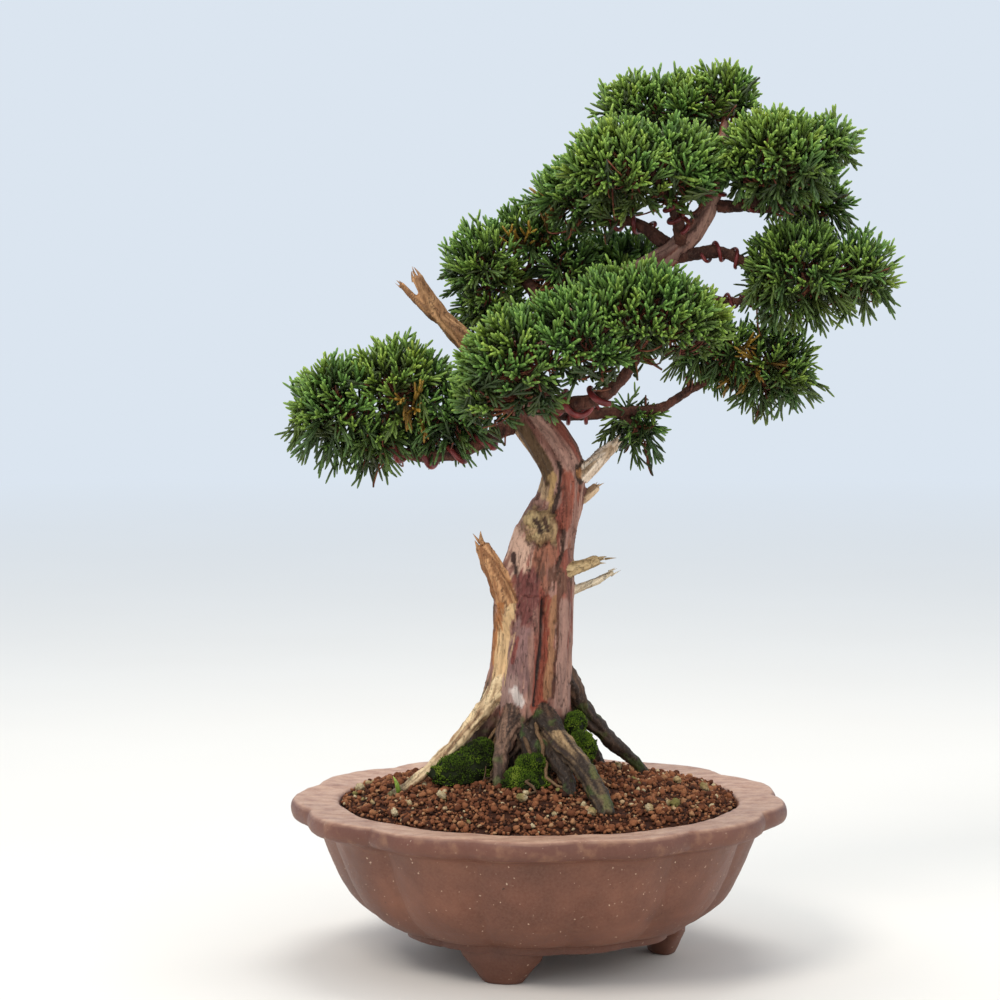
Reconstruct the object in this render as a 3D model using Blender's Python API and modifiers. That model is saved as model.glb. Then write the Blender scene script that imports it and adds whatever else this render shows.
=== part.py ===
"""A juniper bonsai in a twelve-lobed clay pot, as an assembly of closed solids.

The pot is one fired piece with three feet and three drainage holes, each covered inside by a mesh
screen. It holds the soil, which is cut out round the roots. The trunk with its surface roots and
its dead stubs is one grown piece. Eleven limbs leave it, each with its own foliage, and most are
wound with training wire. Moss cushions and loose pebbles lie on the soil.

All sizes are in millimetres. They become metres when a mesh is made. While the parts are made, the
middle of the pot's feet is at zero. At the end the whole object moves so that its reference point,
the middle of its bounding box at the table, is at the origin.
"""

import math

import bmesh
import bpy
from mathutils import Matrix, Vector, noise

MM = 0.001
GAP = 0.4  # clearance between pieces that touch
FINE_GAP = 0.3

# Pot
RIM_TOP = 92.5
BASE_BOTTOM = 18.0
FLOOR_TOP = 26.0
LOBE_WIDTHS_DEG = (31, 26, 31, 27, 27, 27, 29, 35, 32, 31, 32, 32)  # shaped by hand, unequal
FIRST_NOTCH_DEG = 35.0
POINTS_PER_LOBE = 4
FEET = ((-108.0, 67.0), (12.0, 73.0), (132.0, 67.0))  # angle, and distance from the middle
FOOT_BOTTOM = (11.0, 7.0)  # half width along the rim, half depth
FOOT_TOP = (24.0, 9.5)
DRAIN_RADIUS = 7.5
DRAIN_CIRCLE = 42.0
DRAIN_ANGLES_DEG = (-48.0, 72.0, 192.0)  # between the feet
SCREEN_SIDE = 25.0
SCREEN_THICKNESS = 1.0
SCREEN_CELLS = 7

# Radius, height and lobe depth down the outside from the middle of the base, then over the rim and
# down the inside to the middle of the floor.
POT_PROFILE = (
    (79.0, BASE_BOTTOM, 2.5),
    (81.0, 22.5, 3.0),
    (90.0, 25.0, 3.5),
    (101.5, 33.0, 4.0),
    (108.0, 40.0, 4.2),
    (113.0, 48.0, 4.4),
    (118.0, 58.8, 4.6),
    (122.0, 69.3, 4.8),
    (125.5, 77.2, 5.0),
    (136.5, 81.6, 5.7),
    (140.6, 84.8, 6.0),
    (140.2, 90.0, 6.0),
    (137.5, RIM_TOP, 5.8),
    (115.5, RIM_TOP - 0.6, 1.5),
    (112.5, 89.0, 1.0),
    (111.5, 77.5, 0.5),
    (107.0, 56.0, 0.0),
    (97.0, 39.0, 0.0),
    (68.0, FLOOR_TOP, 0.0),
)

# Soil, turned: its wall follows the pot's inside and its top is a low mound.
SOIL_STEPS = 32
SOIL_WALL = ((66.0, 28.2), (95.0, 40.6), (105.6, 57.0), (110.2, 77.5), (110.6, 88.5))
SOIL_MOUND = ((108.5, 91.6), (96.0, 95.5), (80.0, 99.0), (54.0, 104.0), (28.0, 108.0))
SOIL_PEAK = 109.5

# Trunk, roots, ribs and dead stubs: x, y, z and radius along each line.
TRUNK = (
    (-4, 4, 81, 24),
    (-5, 2, 101, 25),
    (-6, 1, 121, 22.5),
    (-5, 2, 143, 19.5),
    (-3, 3, 167, 18.5),
    (0, 3, 193, 17.5),
    (2.5, 2, 219, 17.5),
    (5, 0, 243, 16),
    (12, 0, 261, 14),
    (14, 0, 278, 13.2),
    (4, 0, 297, 12.8),
    (-9, 2, 314, 12),
    (-19, 6, 331, 11),
    (-12, 11, 349, 10),
    (12, 14, 366, 9),
    (46, 12, 384, 7.6),
    (76, 6, 402, 6.6),
    (94, 1, 424, 5.4),
    (101, 5, 449, 4.2),
    (105, 14, 475, 2.8),
    (106, 20, 493, 1.8),
)
TRUNK_SIDES = 12
TRUNK_STEP = 14.0
ROOTS = (
    ((-12, -5, 169, 8), (-27, -9, 150, 5.5), (-37, -12, 137, 4.6), (-49, -15, 123, 4.2),
     (-62, -18, 111, 3.6), (-74, -20, 102, 3.2), (-84, -22, 96, 2.6)),
    ((-12, -12, 147, 8), (-18, -22, 135, 6), (-21, -30, 123, 5), (-22, -36, 111, 4.8), (-23, -42, 98, 4.6)),
    ((-4, -10, 137, 12), (-5, -19, 125, 9), (-4, -26, 113, 7), (-2, -32, 98, 5.5)),
    ((0, -8, 145, 9), (5, -20, 138, 7.5), (12, -34, 130, 6.5), (22, -50, 121, 6), (30, -66, 110, 5.4),
     (37, -82, 96, 4.4)),
    ((6, -22, 128, 7), (10, -36, 120, 5.5), (16, -47, 110, 4.5), (17, -57, 96, 3.6)),
    ((10, 0, 167, 9), (19, 6, 152, 7), (24, 12, 142, 5.5), (34, 15, 131, 5), (45, 18, 119, 4.5),
     (57, 22, 108, 4), (66, 24, 97, 3)),
    ((-10, 10, 143, 11), (-24, 24, 131, 8), (-38, 38, 117, 6.5), (-52, 52, 103, 5), (-60, 60, 94, 4)),
    ((8, 10, 141, 11), (18, 26, 129, 8), (28, 44, 114, 6), (36, 60, 100, 5), (40, 68, 93, 4)),
)
RIBS = (  # rounded ribs that stand out of the trunk, and the burl on its front
    ((4, 0, 260, 8), (-4, -2, 243, 10), (-9, -4, 228, 10), (-14, -4, 214, 10.5), (-15, -3, 201, 10.5),
     (-16, -2, 187, 9.5), (-19, -3, 165, 9), (-25, -3, 147, 8.5), (-31, -3, 133, 7.5), (-36, -2, 117, 6.5),
     (-40, 2, 99, 5)),
    ((-4, -7, 209, 11), (-7, -8, 177, 13), (-9, -8, 152, 13.5), (-8, -9, 129, 13), (-7, -11, 109, 12)),
    ((9, -4, 233, 10), (9, -6, 209, 10.5), (7.5, -6, 182, 11), (6, -6, 157, 11), (6, -5, 137, 11.5), (8, -4, 115, 12)),
    ((2, 2, 249, 12), (0, -8, 248, 9.5), (0, -12, 247, 7)),
)
STUBS = (
    ((-16, 5, 325, 9), (-30, 4, 339, 7), (-43, 4, 353, 6), (-55, 4, 365, 5), (-63, 4, 377, 4), (-69, 4, 388, 3.4)),
    ((-50, 4, 360, 4), (-62, 3, 368, 3), (-70, 2, 376, 2.4), (-78, 2, 384, 2)),
    ((-10, -8, 180, 7), (-17, -12, 200, 7), (-22, -13, 216, 6.5), (-28, -13, 229, 5.6), (-32, -13, 238, 4.4)),
    ((14, -2, 269, 7), (25, -3, 278, 5.5), (33, -3, 285, 4.8), (42, -3, 294, 3.6)),
    ((16, 2, 259, 4), (26, 0, 264, 3.4), (33, -1, 270, 2.6)),
    ((6, -6, 222, 6), (16, -8, 223, 5), (26, -8, 226, 4.2), (34, -8, 229, 3.4)),
    ((8, 2, 207, 5), (21, -1, 211.5, 3.2), (33, -2, 217, 2.4), (42, -2, 222, 1.8)),
)

# Each limb is its own line first, then the forks that leave it.
LIMBS = {
    "limb_left": (
        ((0, 2, 308, 6), (-20, 0, 302, 4.8), (-34, -2, 294, 4.2), (-50, -3, 288, 3.8), (-68, -4, 287, 3.4),
         (-86, -5, 293, 2.8), (-102, -6, 303, 2.3), (-114, -6, 315, 1.8)),
        ((-58, -3, 287, 2.8), (-66, 0, 299, 2.4), (-70, 2, 313, 2), (-72, 3, 325, 1.6)),
    ),
    "limb_front": (
        ((-8, 2, 323, 7), (2, -14, 319, 5.2), (18, -27, 318, 4.6), (34, -38, 323, 4), (46, -44, 334, 3.4),
         (54, -48, 347, 2.8), (58, -48, 359, 2.2)),
        ((4, -17, 319, 3.6), (2, -32, 323, 3), (-3, -44, 331, 2.4), (-6, -50, 342, 1.8)),
    ),
    "limb_lower_right": (
        ((-4, 4, 315, 6), (16, 12, 310, 4), (34, 18, 310, 3.4), (52, 20, 311, 3), (70, 20, 313, 2.8),
         (86, 20, 323, 2.5), (104, 20, 331, 2.2), (122, 20, 334, 1.8), (136, 20, 339, 1.5)),
        ((44, 19, 310, 2.2), (54, 21, 303, 1.8), (60, 23, 293, 1.4)),
    ),
    "limb_back_left": (
        ((4, 14, 361, 6), (0, 26, 371, 4), (-6, 36, 383, 3.2), (-18, 40, 391, 2.6), (-32, 40, 395, 2)),
    ),
    "limb_upper_left": (
        ((76, 6, 402, 5), (64, 9, 412, 3.8), (52, 11, 419, 3.2), (38, 13, 418, 2.7), (26, 14, 423, 2.2),
         (18, 15, 433, 1.8)),
    ),
    "limb_upper_front": (
        ((80, 4, 405, 5), (78, -8, 417, 3.6), (72, -16, 431, 3), (64, -21, 444, 2.4), (58, -22, 455, 1.8)),
    ),
    "limb_upper_right": (
        ((96, 1, 428, 4.2), (112, -3, 427, 3.4), (126, -8, 433, 2.9), (134, -12, 445, 2.3), (138, -14, 457, 1.8)),
        ((114, -2, 427, 2.6), (132, 8, 425, 2.2), (150, 20, 427, 1.8), (160, 28, 433, 1.5)),
    ),
    "limb_right": (
        ((74, 6, 400, 5.5), (90, 2, 401, 3.8), (102, 0, 402, 3.4), (114, 0, 396, 3), (128, 0, 388, 2.7),
         (146, 0, 387, 2.2), (164, 1, 389, 1.8), (182, 2, 393, 1.5)),
    ),
    "limb_right_low": (
        ((40, 12, 381, 5), (70, 14, 375, 3), (94, 12, 375, 2.6), (114, 10, 374, 2.3), (130, 8, 377, 2),
         (142, 5, 385, 1.5)),
    ),
    "limb_back": (
        ((8, 14, 363, 6), (16, 34, 355, 4), (26, 48, 353, 3.2), (36, 58, 357, 2.4), (42, 62, 365, 1.8)),
    ),
    "limb_back_top": (
        ((93, 4, 421, 3.6), (93, 22, 431, 3), (89, 40, 443, 2.5), (86, 52, 453, 2), (84, 58, 461, 1.6)),
    ),
}
LIMB_SIDES = 8
LIMB_STEP = 8.0

# Foliage lobes, each a dome: middle, half sizes, and the share of its height that is as deep below.
FOLIAGE = {
    "foliage_front": (
        (-11, -54, 340, 30, 27, 30, 0.95), (54, -50, 364, 42, 29, 29, 0.75), (20, -56, 351, 31, 27, 29, 0.8),
        (81, -44, 361, 20, 20, 20, 0.8), (-26, -48, 323, 18, 18, 17, 0.9),
    ),
    "foliage_left": (
        (-113, -6, 315, 24, 25, 24, 1.0), (-78, 2, 323, 29, 27, 26, 1.0), (-50, -2, 309, 19, 20, 18, 1.0),
        (-94, -4, 302, 20, 18, 15, 1.0),
    ),
    "foliage_hanging": ((55, 24, 303, 16, 13, 15, 1.0),),
    "foliage_lower_right": ((102, 20, 344, 24, 22, 17, 0.6), (132, 20, 337, 23, 22, 22, 0.9)),
    "foliage_upper_front": ((46, -25, 446, 31, 27, 26, 0.9), (76, -20, 447, 24, 24, 24, 0.8)),
    "foliage_apex": (
        (104, 22, 488, 17, 17, 15, 0.7), (84, 24, 481, 22, 20, 16, 0.7), (60, 24, 482, 24, 20, 16, 0.7),
    ),
    "foliage_upper_right": ((131, -14, 452, 31, 28, 26, 0.8), (158, -12, 460, 16, 16, 14, 0.8)),
    "foliage_upper_left": ((26, 14, 431, 28, 24, 21, 0.7),),
    "foliage_back_left": (
        (-30, 36, 391, 20, 22, 25, 0.9), (-6, 44, 406, 20, 21, 19, 0.9), (-28, 40, 370, 17, 20, 16, 0.9),
        (14, 42, 393, 18, 19, 18, 0.9),
    ),
    "foliage_right": ((146, 0, 390, 29, 27, 26, 0.9), (178, 3, 391, 18, 19, 18, 0.9)),
    "foliage_right_back": ((157, 33, 428, 20, 16, 18, 0.8),),
    "foliage_back": ((42, 64, 361, 32, 24, 22, 0.8), (48, 58, 393, 25, 21, 16, 0.8)),
    "foliage_back_top": ((82, 62, 457, 31, 21, 22, 0.8),),
}
LOBE_SEGMENTS = 12
LOBE_RINGS = 8

# Training wire: the limb or trunk that it winds round, the share of that line where it starts and
# ends, the wire's radius, the rise of a turn and the angle where it starts.
WIRES = {
    "wire_left": ("limb_left", 0.19, 0.74, 1.7, 17.0, 135.0),
    "wire_front": ("limb_front", 0.26, 0.60, 2.0, 19.0, 135.0),
    "wire_lower_right": ("limb_lower_right", 0.14, 0.27, 1.2, 10.0, 0.0),
    "wire_upper_left": ("limb_upper_left", 0.24, 0.66, 1.3, 13.0, 45.0),
    "wire_upper_front": ("limb_upper_front", 0.24, 0.52, 1.3, 8.0, 0.0),
    "wire_upper_right": ("limb_upper_right", 0.30, 0.44, 1.1, 9.0, 225.0),
    "wire_right": ("limb_right", 0.16, 0.36, 1.1, 10.0, 0.0),
    "wire_right_low": ("limb_right_low", 0.40, 0.76, 0.9, 9.0, 0.0),
    "wire_trunk_top": ("trunk", 0.86, 0.92, 1.2, 9.0, 180.0),
}
WIRE_POINTS_PER_TURN = 11
WIRE_SIDES = 6

MOSS = {
    "moss_left": ((-44, -22, 109, 18, 12, 13), (-33, -18, 118, 12, 9, 12)),
    "moss_front": ((-8, -40, 105, 16, 9, 11), (-4, -35, 114, 10, 8, 9)),
    "moss_right": ((24, -22, 123, 9, 8, 12), (20, -12, 135, 7, 7, 9)),
}
PEBBLES = ((-80, -68), (-54, -53), (79, 0), (75, -56), (94, -4), (28, -86), (-102, 8), (-10, -68), (60, -72), (30, 84))
PEBBLE_SIZE = (3.6, 3.1, 2.7)

COLOURS = {
    "clay": ((0.185, 0.105, 0.085), 0.62),
    "soil": ((0.16, 0.065, 0.035), 0.95),
    "bark": ((0.27, 0.15, 0.11), 0.8),
    "twig_bark": ((0.16, 0.075, 0.05), 0.85),
    "foliage": ((0.09, 0.22, 0.045), 0.6),
    "wire": ((0.16, 0.035, 0.03), 0.35),
    "moss": ((0.08, 0.16, 0.02), 0.95),
    "pumice": ((0.62, 0.56, 0.42), 0.9),
    "screen": ((0.02, 0.02, 0.02), 0.5),
}


def clear_scene():
    for obj in list(bpy.data.objects):
        bpy.data.objects.remove(obj, do_unlink=True)


def collection(name, hidden=False):
    made = bpy.data.collections.new(name)
    made.hide_render = hidden
    bpy.context.scene.collection.children.link(made)
    return made


def material(slot):
    """The material of a slot, made the first time that it is asked for."""
    found = bpy.data.materials.get(slot)
    if found:
        return found
    (red, green, blue), roughness = COLOURS[slot]
    made = bpy.data.materials.new(slot)
    made.use_nodes = True
    shader = made.node_tree.nodes["Principled BSDF"]
    shader.inputs["Base Color"].default_value = (red, green, blue, 1.0)
    shader.inputs["Roughness"].default_value = roughness
    shader.inputs["Metallic"].default_value = 0.0
    return made


# ---------------------------------------------------------------- lines and tubes


def line_through(knots, step):
    """Points and radii about a step apart on a Catmull-Rom curve through the knots."""
    ends = [knots[0], *knots, knots[-1]]
    made = []
    for i in range(len(knots) - 1):
        a, b, c, d = (Vector(k[:3]) for k in ends[i:i + 4])
        count = max(1, round((c - b).length / step))
        for j in range(count):
            t = j / count
            point = 0.5 * (
                2 * b + (c - a) * t + (2 * a - 5 * b + 4 * c - d) * t**2 + (3 * b - 3 * c + d - a) * t**3
            )
            made.append((point, knots[i][3] + (knots[i + 1][3] - knots[i][3]) * t))
    made.append((Vector(knots[-1][:3]), knots[-1][3]))
    return made


def curve_tube(name, points, sides, grow=0.0):
    """A curve object with round ends' caps filled, through (point, radius) pairs."""
    data = bpy.data.curves.new(name, "CURVE")
    data.dimensions = "3D"
    data.bevel_depth = MM
    data.bevel_resolution = (sides - 4) // 2
    data.use_fill_caps = True
    spline = data.splines.new("POLY")
    spline.points.add(len(points) - 1)
    for knot, (point, radius) in zip(spline.points, points):
        knot.co = (*(point * MM), 1.0)
        knot.radius = radius + grow
    return bpy.data.objects.new(name, data)


def mesh_of(obj, group):
    """A mesh object with the shape of a curve object, which is removed. Its caps are welded."""
    name = obj.name
    group.objects.link(obj)
    bpy.context.view_layer.update()
    evaluated = obj.evaluated_get(bpy.context.evaluated_depsgraph_get())
    mesh = bpy.data.meshes.new_from_object(evaluated)
    bpy.data.objects.remove(obj, do_unlink=True)
    work = bmesh.new()
    work.from_mesh(mesh)
    bmesh.ops.remove_doubles(work, verts=work.verts, dist=0.01 * MM)
    bmesh.ops.recalc_face_normals(work, faces=work.faces)
    work.to_mesh(mesh)
    work.free()
    made = bpy.data.objects.new(name, mesh)
    group.objects.link(made)
    return made


def tube(name, knots, sides, step, group, grow=0.0):
    return mesh_of(curve_tube(name, line_through(knots, step), sides, grow), group)


# ---------------------------------------------------------------- Booleans


def combine(obj, other, operation):
    modifier = obj.modifiers.new(operation.lower(), "BOOLEAN")
    modifier.operation = operation
    modifier.object = other
    modifier.solver = "EXACT"


def settle(obj):
    """Applies the object's Booleans, keeps the largest body that they left and removes slivers."""
    bpy.context.view_layer.update()
    evaluated = obj.evaluated_get(bpy.context.evaluated_depsgraph_get())
    mesh = bpy.data.meshes.new_from_object(evaluated)
    obj.modifiers.clear()
    work = bmesh.new()
    work.from_mesh(mesh)
    bmesh.ops.remove_doubles(work, verts=work.verts, dist=0.02 * MM)
    bmesh.ops.dissolve_degenerate(work, edges=work.edges, dist=0.02 * MM)
    bodies = bodies_of(work)
    largest = max(bodies, key=lambda faces: sum(f.calc_area() for f in faces))
    spare = [v for faces in bodies if faces is not largest for f in faces for v in f.verts]
    bmesh.ops.delete(work, geom=list(set(spare)), context="VERTS")
    bmesh.ops.triangulate(work, faces=work.faces)
    work.to_mesh(mesh)
    work.free()
    obj.data = mesh
    return obj


def bodies_of(work):
    """The faces of each connected body of a bmesh."""
    left, found = set(work.faces), []
    while left:
        start = left.pop()
        body, queue = [start], [start]
        while queue:
            face = queue.pop()
            for edge in face.edges:
                for near in edge.link_faces:
                    if near in left:
                        left.remove(near)
                        body.append(near)
                        queue.append(near)
        found.append(body)
    return found


def joined(name, tubes):
    """One solid from tubes that overlap. The others are removed."""
    first = tubes[0]
    first.name = name
    for other in tubes[1:]:
        combine(first, other, "UNION")
    settle(first)
    for other in tubes[1:]:
        bpy.data.objects.remove(other, do_unlink=True)
    return first


def cut(obj, cutters):
    for cutter in cutters:
        combine(obj, cutter, "DIFFERENCE")
    return settle(obj)


# ---------------------------------------------------------------- pot, screens and soil


def notch_angles():
    """The angles of the notches between lobes, going clockwise from above, in degrees."""
    angles, at = [], FIRST_NOTCH_DEG
    for width in LOBE_WIDTHS_DEG:
        angles.append((at, width))
        at -= width
    return angles


def lobe_directions():
    """Angle in radians and how far towards a notch, from 0 to 1, for each point round the pot."""
    made = []
    for start, width in notch_angles():
        for i in range(POINTS_PER_LOBE):
            across = i / POINTS_PER_LOBE
            made.append((math.radians(start - width * across), (2 * across - 1) ** 2))
    return made


def pot_shell(group):
    """The pot without its feet, as rings of points joined by faces, closed in the middle."""
    around = lobe_directions()
    work = bmesh.new()
    rings = []
    for radius, height, depth in POT_PROFILE:
        rings.append([
            work.verts.new((
                (radius - depth * notch) * math.cos(angle) * MM,
                (radius - depth * notch) * math.sin(angle) * MM,
                height * MM,
            ))
            for angle, notch in around
        ])
    for low, high in zip(rings, rings[1:]):
        for i in range(len(around)):
            j = (i + 1) % len(around)
            work.faces.new((low[i], low[j], high[j], high[i]))
    work.faces.new(rings[0])
    work.faces.new(rings[-1])
    bmesh.ops.recalc_face_normals(work, faces=work.faces)
    return finish_mesh(work, "pot", group)


def finish_mesh(work, name, group):
    mesh = bpy.data.meshes.new(name)
    work.to_mesh(mesh)
    work.free()
    made = bpy.data.objects.new(name, mesh)
    group.objects.link(made)
    return made


def foot(angle, radius, group):
    """A foot: an oval frustum, wide where it meets the base and flat underneath."""
    height = BASE_BOTTOM + 3.0
    work = bmesh.new()
    bmesh.ops.create_cone(work, cap_ends=True, segments=14, radius1=1, radius2=1, depth=height)
    for vert in work.verts:
        low = vert.co.z < 0
        across, along = FOOT_BOTTOM if low else FOOT_TOP
        vert.co.x *= along
        vert.co.y *= across
        vert.co.z += height / 2
    turn = Matrix.Rotation(math.radians(angle), 4, "Z") @ Matrix.Translation((radius, 0, 0))
    bmesh.ops.transform(work, matrix=Matrix.Scale(MM, 4) @ turn, verts=work.verts)
    return finish_mesh(work, "foot", group)


def on_circle(radius, degrees, z=0.0):
    angle = math.radians(degrees)
    return Vector((radius * math.cos(angle), radius * math.sin(angle), z))


def drain_cutter(angle, group):
    work = bmesh.new()
    bmesh.ops.create_cone(
        work, cap_ends=True, segments=16, radius1=DRAIN_RADIUS * MM, radius2=DRAIN_RADIUS * MM, depth=30 * MM
    )
    bmesh.ops.translate(work, verts=work.verts, vec=on_circle(DRAIN_CIRCLE, angle, FLOOR_TOP) * MM)
    return finish_mesh(work, "drain", group)


def build_pot(parts, helpers):
    pot = pot_shell(parts)
    feet = [foot(angle, radius, helpers) for angle, radius in FEET]
    for each in feet:
        combine(pot, each, "UNION")
    settle(pot)
    drains = [drain_cutter(angle, helpers) for angle in DRAIN_ANGLES_DEG]
    cut(pot, drains)
    for each in feet + drains:
        bpy.data.objects.remove(each, do_unlink=True)
    return pot


def build_screen(number, angle, group):
    """A square plastic mesh over a drainage hole: a grid with every second cell open."""
    work = bmesh.new()
    bmesh.ops.create_grid(
        work, x_segments=SCREEN_CELLS, y_segments=SCREEN_CELLS, size=SCREEN_SIDE / 2 * MM
    )
    cell = SCREEN_SIDE / SCREEN_CELLS
    holes = []
    for face in work.faces:
        middle = face.calc_center_median() / MM
        column, row = (int((c + SCREEN_SIDE / 2) // cell) for c in middle[:2])
        if column % 2 and row % 2:
            holes.append(face)
    bmesh.ops.delete(work, geom=holes, context="FACES_ONLY")
    place = on_circle(DRAIN_CIRCLE, angle, FLOOR_TOP + GAP)
    turn = Matrix.Translation(place * MM) @ Matrix.Rotation(math.radians(angle), 4, "Z")
    bmesh.ops.transform(work, matrix=turn, verts=work.verts)
    screen = finish_mesh(work, f"drainage_screen_{number}", group)
    thick = screen.modifiers.new("thickness", "SOLIDIFY")
    thick.thickness = SCREEN_THICKNESS * MM
    thick.offset = 1.0
    return screen


def soil_height(x, y):
    """Height of the soil's top at a place, from the mound's profile."""
    radius = math.hypot(x, y)
    profile = (*SOIL_MOUND, (0.0, SOIL_PEAK))
    for (r1, z1), (r2, z2) in zip(profile, profile[1:]):
        if radius >= r2:
            return z2 + (z1 - z2) * (radius - r2) / (r1 - r2)
    return SOIL_PEAK


def turned_soil(name, group, grow=0.0):
    """The soil as a profile turned about the pot's axis. grow lifts its top."""
    top = [(r, z + grow) for r, z in SOIL_MOUND]
    outline = [(0.0, SOIL_PEAK + grow), *reversed(top), *reversed(SOIL_WALL), (0.0, SOIL_WALL[0][1])]
    work = bmesh.new()
    verts = [work.verts.new((r * MM, 0, z * MM)) for r, z in outline]
    for a, b in zip(verts, verts[1:]):
        work.edges.new((a, b))
    soil = finish_mesh(work, name, group)
    turn = soil.modifiers.new("turned", "SCREW")
    turn.steps = turn.render_steps = SOIL_STEPS
    turn.use_merge_vertices = True
    turn.merge_threshold = 0.00005
    return settle(soil)


# ---------------------------------------------------------------- wood


def wood(name, group, grow=0.0):
    """The trunk with its surface roots and dead stubs as one solid."""
    tubes = [tube("trunk_line", TRUNK, TRUNK_SIDES, TRUNK_STEP, group, grow)]
    tubes += [tube("rib", knots, 10, 18.0, group, grow) for knots in RIBS]
    tubes += [tube("root", knots, LIMB_SIDES, 14.0, group, grow) for knots in ROOTS]
    tubes += [tube("stub", knots, 6, 12.0, group, grow) for knots in STUBS]
    return joined(name, tubes)


def limb(name, lines, group, grow=0.0):
    tubes = [tube(name, knots, LIMB_SIDES, LIMB_STEP, group, grow) for knots in lines]
    return joined(name, tubes) if len(tubes) > 1 else tubes[0]


# ---------------------------------------------------------------- foliage, wire, moss, pebbles


def lobe(name, shape, group, underside, grow=0.0):
    """A dome of foliage with shallow folds, flatter below its middle."""
    x, y, z = shape[:3]
    across, along, up = (half + grow for half in shape[3:])
    work = bmesh.new()
    bmesh.ops.create_uvsphere(work, u_segments=LOBE_SEGMENTS, v_segments=LOBE_RINGS, radius=1)
    for vert in work.verts:
        fold = 1.0 + 0.07 * noise.noise(vert.co * 2.2 + Vector((x, y, z)) * 0.05)
        if vert.co.z < 0:
            vert.co.z *= underside
        vert.co = fold * Vector((vert.co.x * across, vert.co.y * along, vert.co.z * up))
    place = Matrix.Scale(MM, 4) @ Matrix.Translation((x, y, z))
    bmesh.ops.transform(work, matrix=place, verts=work.verts)
    return finish_mesh(work, name, group)


def dome(name, lobes, group, grow=0.0):
    """One solid from the lobes of a pad. The last number of each is how deep its underside is."""
    made = [lobe(name, shape[:6], group, shape[6], grow) for shape in lobes]
    return joined(name, made) if len(made) > 1 else made[0]


def sleeve(name, group):
    """The room that a limb and the wire round it take, as a thick tube."""
    host, start, end, radius = WIRES[name][:4]
    points = line_through(TRUNK if host == "trunk" else LIMBS[host][0], 4.0)
    low, high = (round(share * (len(points) - 1)) for share in (start - 0.04, end + 0.04))
    return mesh_of(curve_tube("sleeve", points[low:high + 1], LIMB_SIDES, 2 * radius + 5 * GAP), group)


def frames_along(points):
    """For each point of a line, two directions square to it that turn as little as they can."""
    side = Vector((0, -1, 0))
    made = []
    for i in range(len(points)):
        ahead = points[min(i + 1, len(points) - 1)][0] - points[max(i - 1, 0)][0]
        ahead.normalize()
        side = (side - ahead * side.dot(ahead)).normalized()
        made.append((side, ahead.cross(side)))
    return made


def at_share(points, frames, share):
    """Point, radius and two directions at a share of a line's length."""
    lengths = [0.0]
    for (a, _), (b, _) in zip(points, points[1:]):
        lengths.append(lengths[-1] + (b - a).length)
    goal = share * lengths[-1]
    i = max(k for k in range(len(points) - 1) if lengths[k] <= goal + 1e-9)
    t = (goal - lengths[i]) / (lengths[i + 1] - lengths[i])
    point = points[i][0].lerp(points[i + 1][0], t)
    radius = points[i][1] + (points[i + 1][1] - points[i][1]) * t
    return point, radius, frames[i][0].lerp(frames[i + 1][0], t), frames[i][1].lerp(frames[i + 1][1], t)


def build_wire(name, group):
    """A wire wound round a limb or the trunk at a steady rise."""
    host, start, end, radius, rise, first = WIRES[name]
    knots = TRUNK if host == "trunk" else LIMBS[host][0]
    points = line_through(knots, 2.0)
    frames = frames_along(points)
    length = sum((b[0] - a[0]).length for a, b in zip(points, points[1:]))
    turns = (end - start) * length / rise
    count = round(turns * WIRE_POINTS_PER_TURN)
    made = []
    for i in range(count + 1):
        middle, inner, side, other = at_share(points, frames, start + (end - start) * i / count)
        angle = math.radians(first) + 2 * math.pi * i / WIRE_POINTS_PER_TURN
        out = (inner + radius + GAP) / math.cos(math.pi / WIRE_POINTS_PER_TURN)
        made.append((middle + out * (math.cos(angle) * side + math.sin(angle) * other), radius))
    wire = curve_tube(name, made, WIRE_SIDES)
    return mesh_of(wire, group)


def build_moss(name, group, cutters):
    return cut(dome(name, [(*shape, 1.0) for shape in MOSS[name]], group), cutters)


def build_pebble(number, place, group):
    x, y = place
    across, along, up = PEBBLE_SIZE
    work = bmesh.new()
    bmesh.ops.create_icosphere(work, subdivisions=1, radius=1)
    for vert in work.verts:
        lump = 1.0 + 0.16 * noise.noise(vert.co * 1.7 + Vector((number, 0, 0)))
        vert.co = lump * Vector((vert.co.x * across, vert.co.y * along, vert.co.z * up))
    turn = Matrix.Translation((x, y, soil_height(x, y) + 1.25 * up)) @ Matrix.Rotation(number, 4, "Z")
    bmesh.ops.transform(work, matrix=Matrix.Scale(MM, 4) @ turn, verts=work.verts)
    return finish_mesh(work, f"pebble_{number}", group)


# ---------------------------------------------------------------- the whole object


def dress(obj, slot, smooth_below=None):
    """Gives an object its material and, where it is round, smooth shading."""
    obj.data.materials.clear()
    obj.data.materials.append(material(slot))
    if smooth_below:
        obj.data.shade_smooth()
        obj.data.set_sharp_from_angle(angle=math.radians(smooth_below))


def rest_on_origin(group):
    """Moves every part so that the middle of the object's box, at its lowest face, is the origin."""
    bpy.context.view_layer.update()
    graph = bpy.context.evaluated_depsgraph_get()
    corners = [
        obj.matrix_world @ Vector(corner)
        for obj in group.objects
        for corner in obj.evaluated_get(graph).bound_box
    ]
    low = Vector(map(min, *corners))
    high = Vector(map(max, *corners))
    stand = bpy.data.objects.new("table_centre", None)
    group.objects.link(stand)
    for obj in group.objects:
        if obj is not stand:
            obj.parent = stand
    stand.location = (-(low.x + high.x) / 2, -(low.y + high.y) / 2, -low.z)


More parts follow.
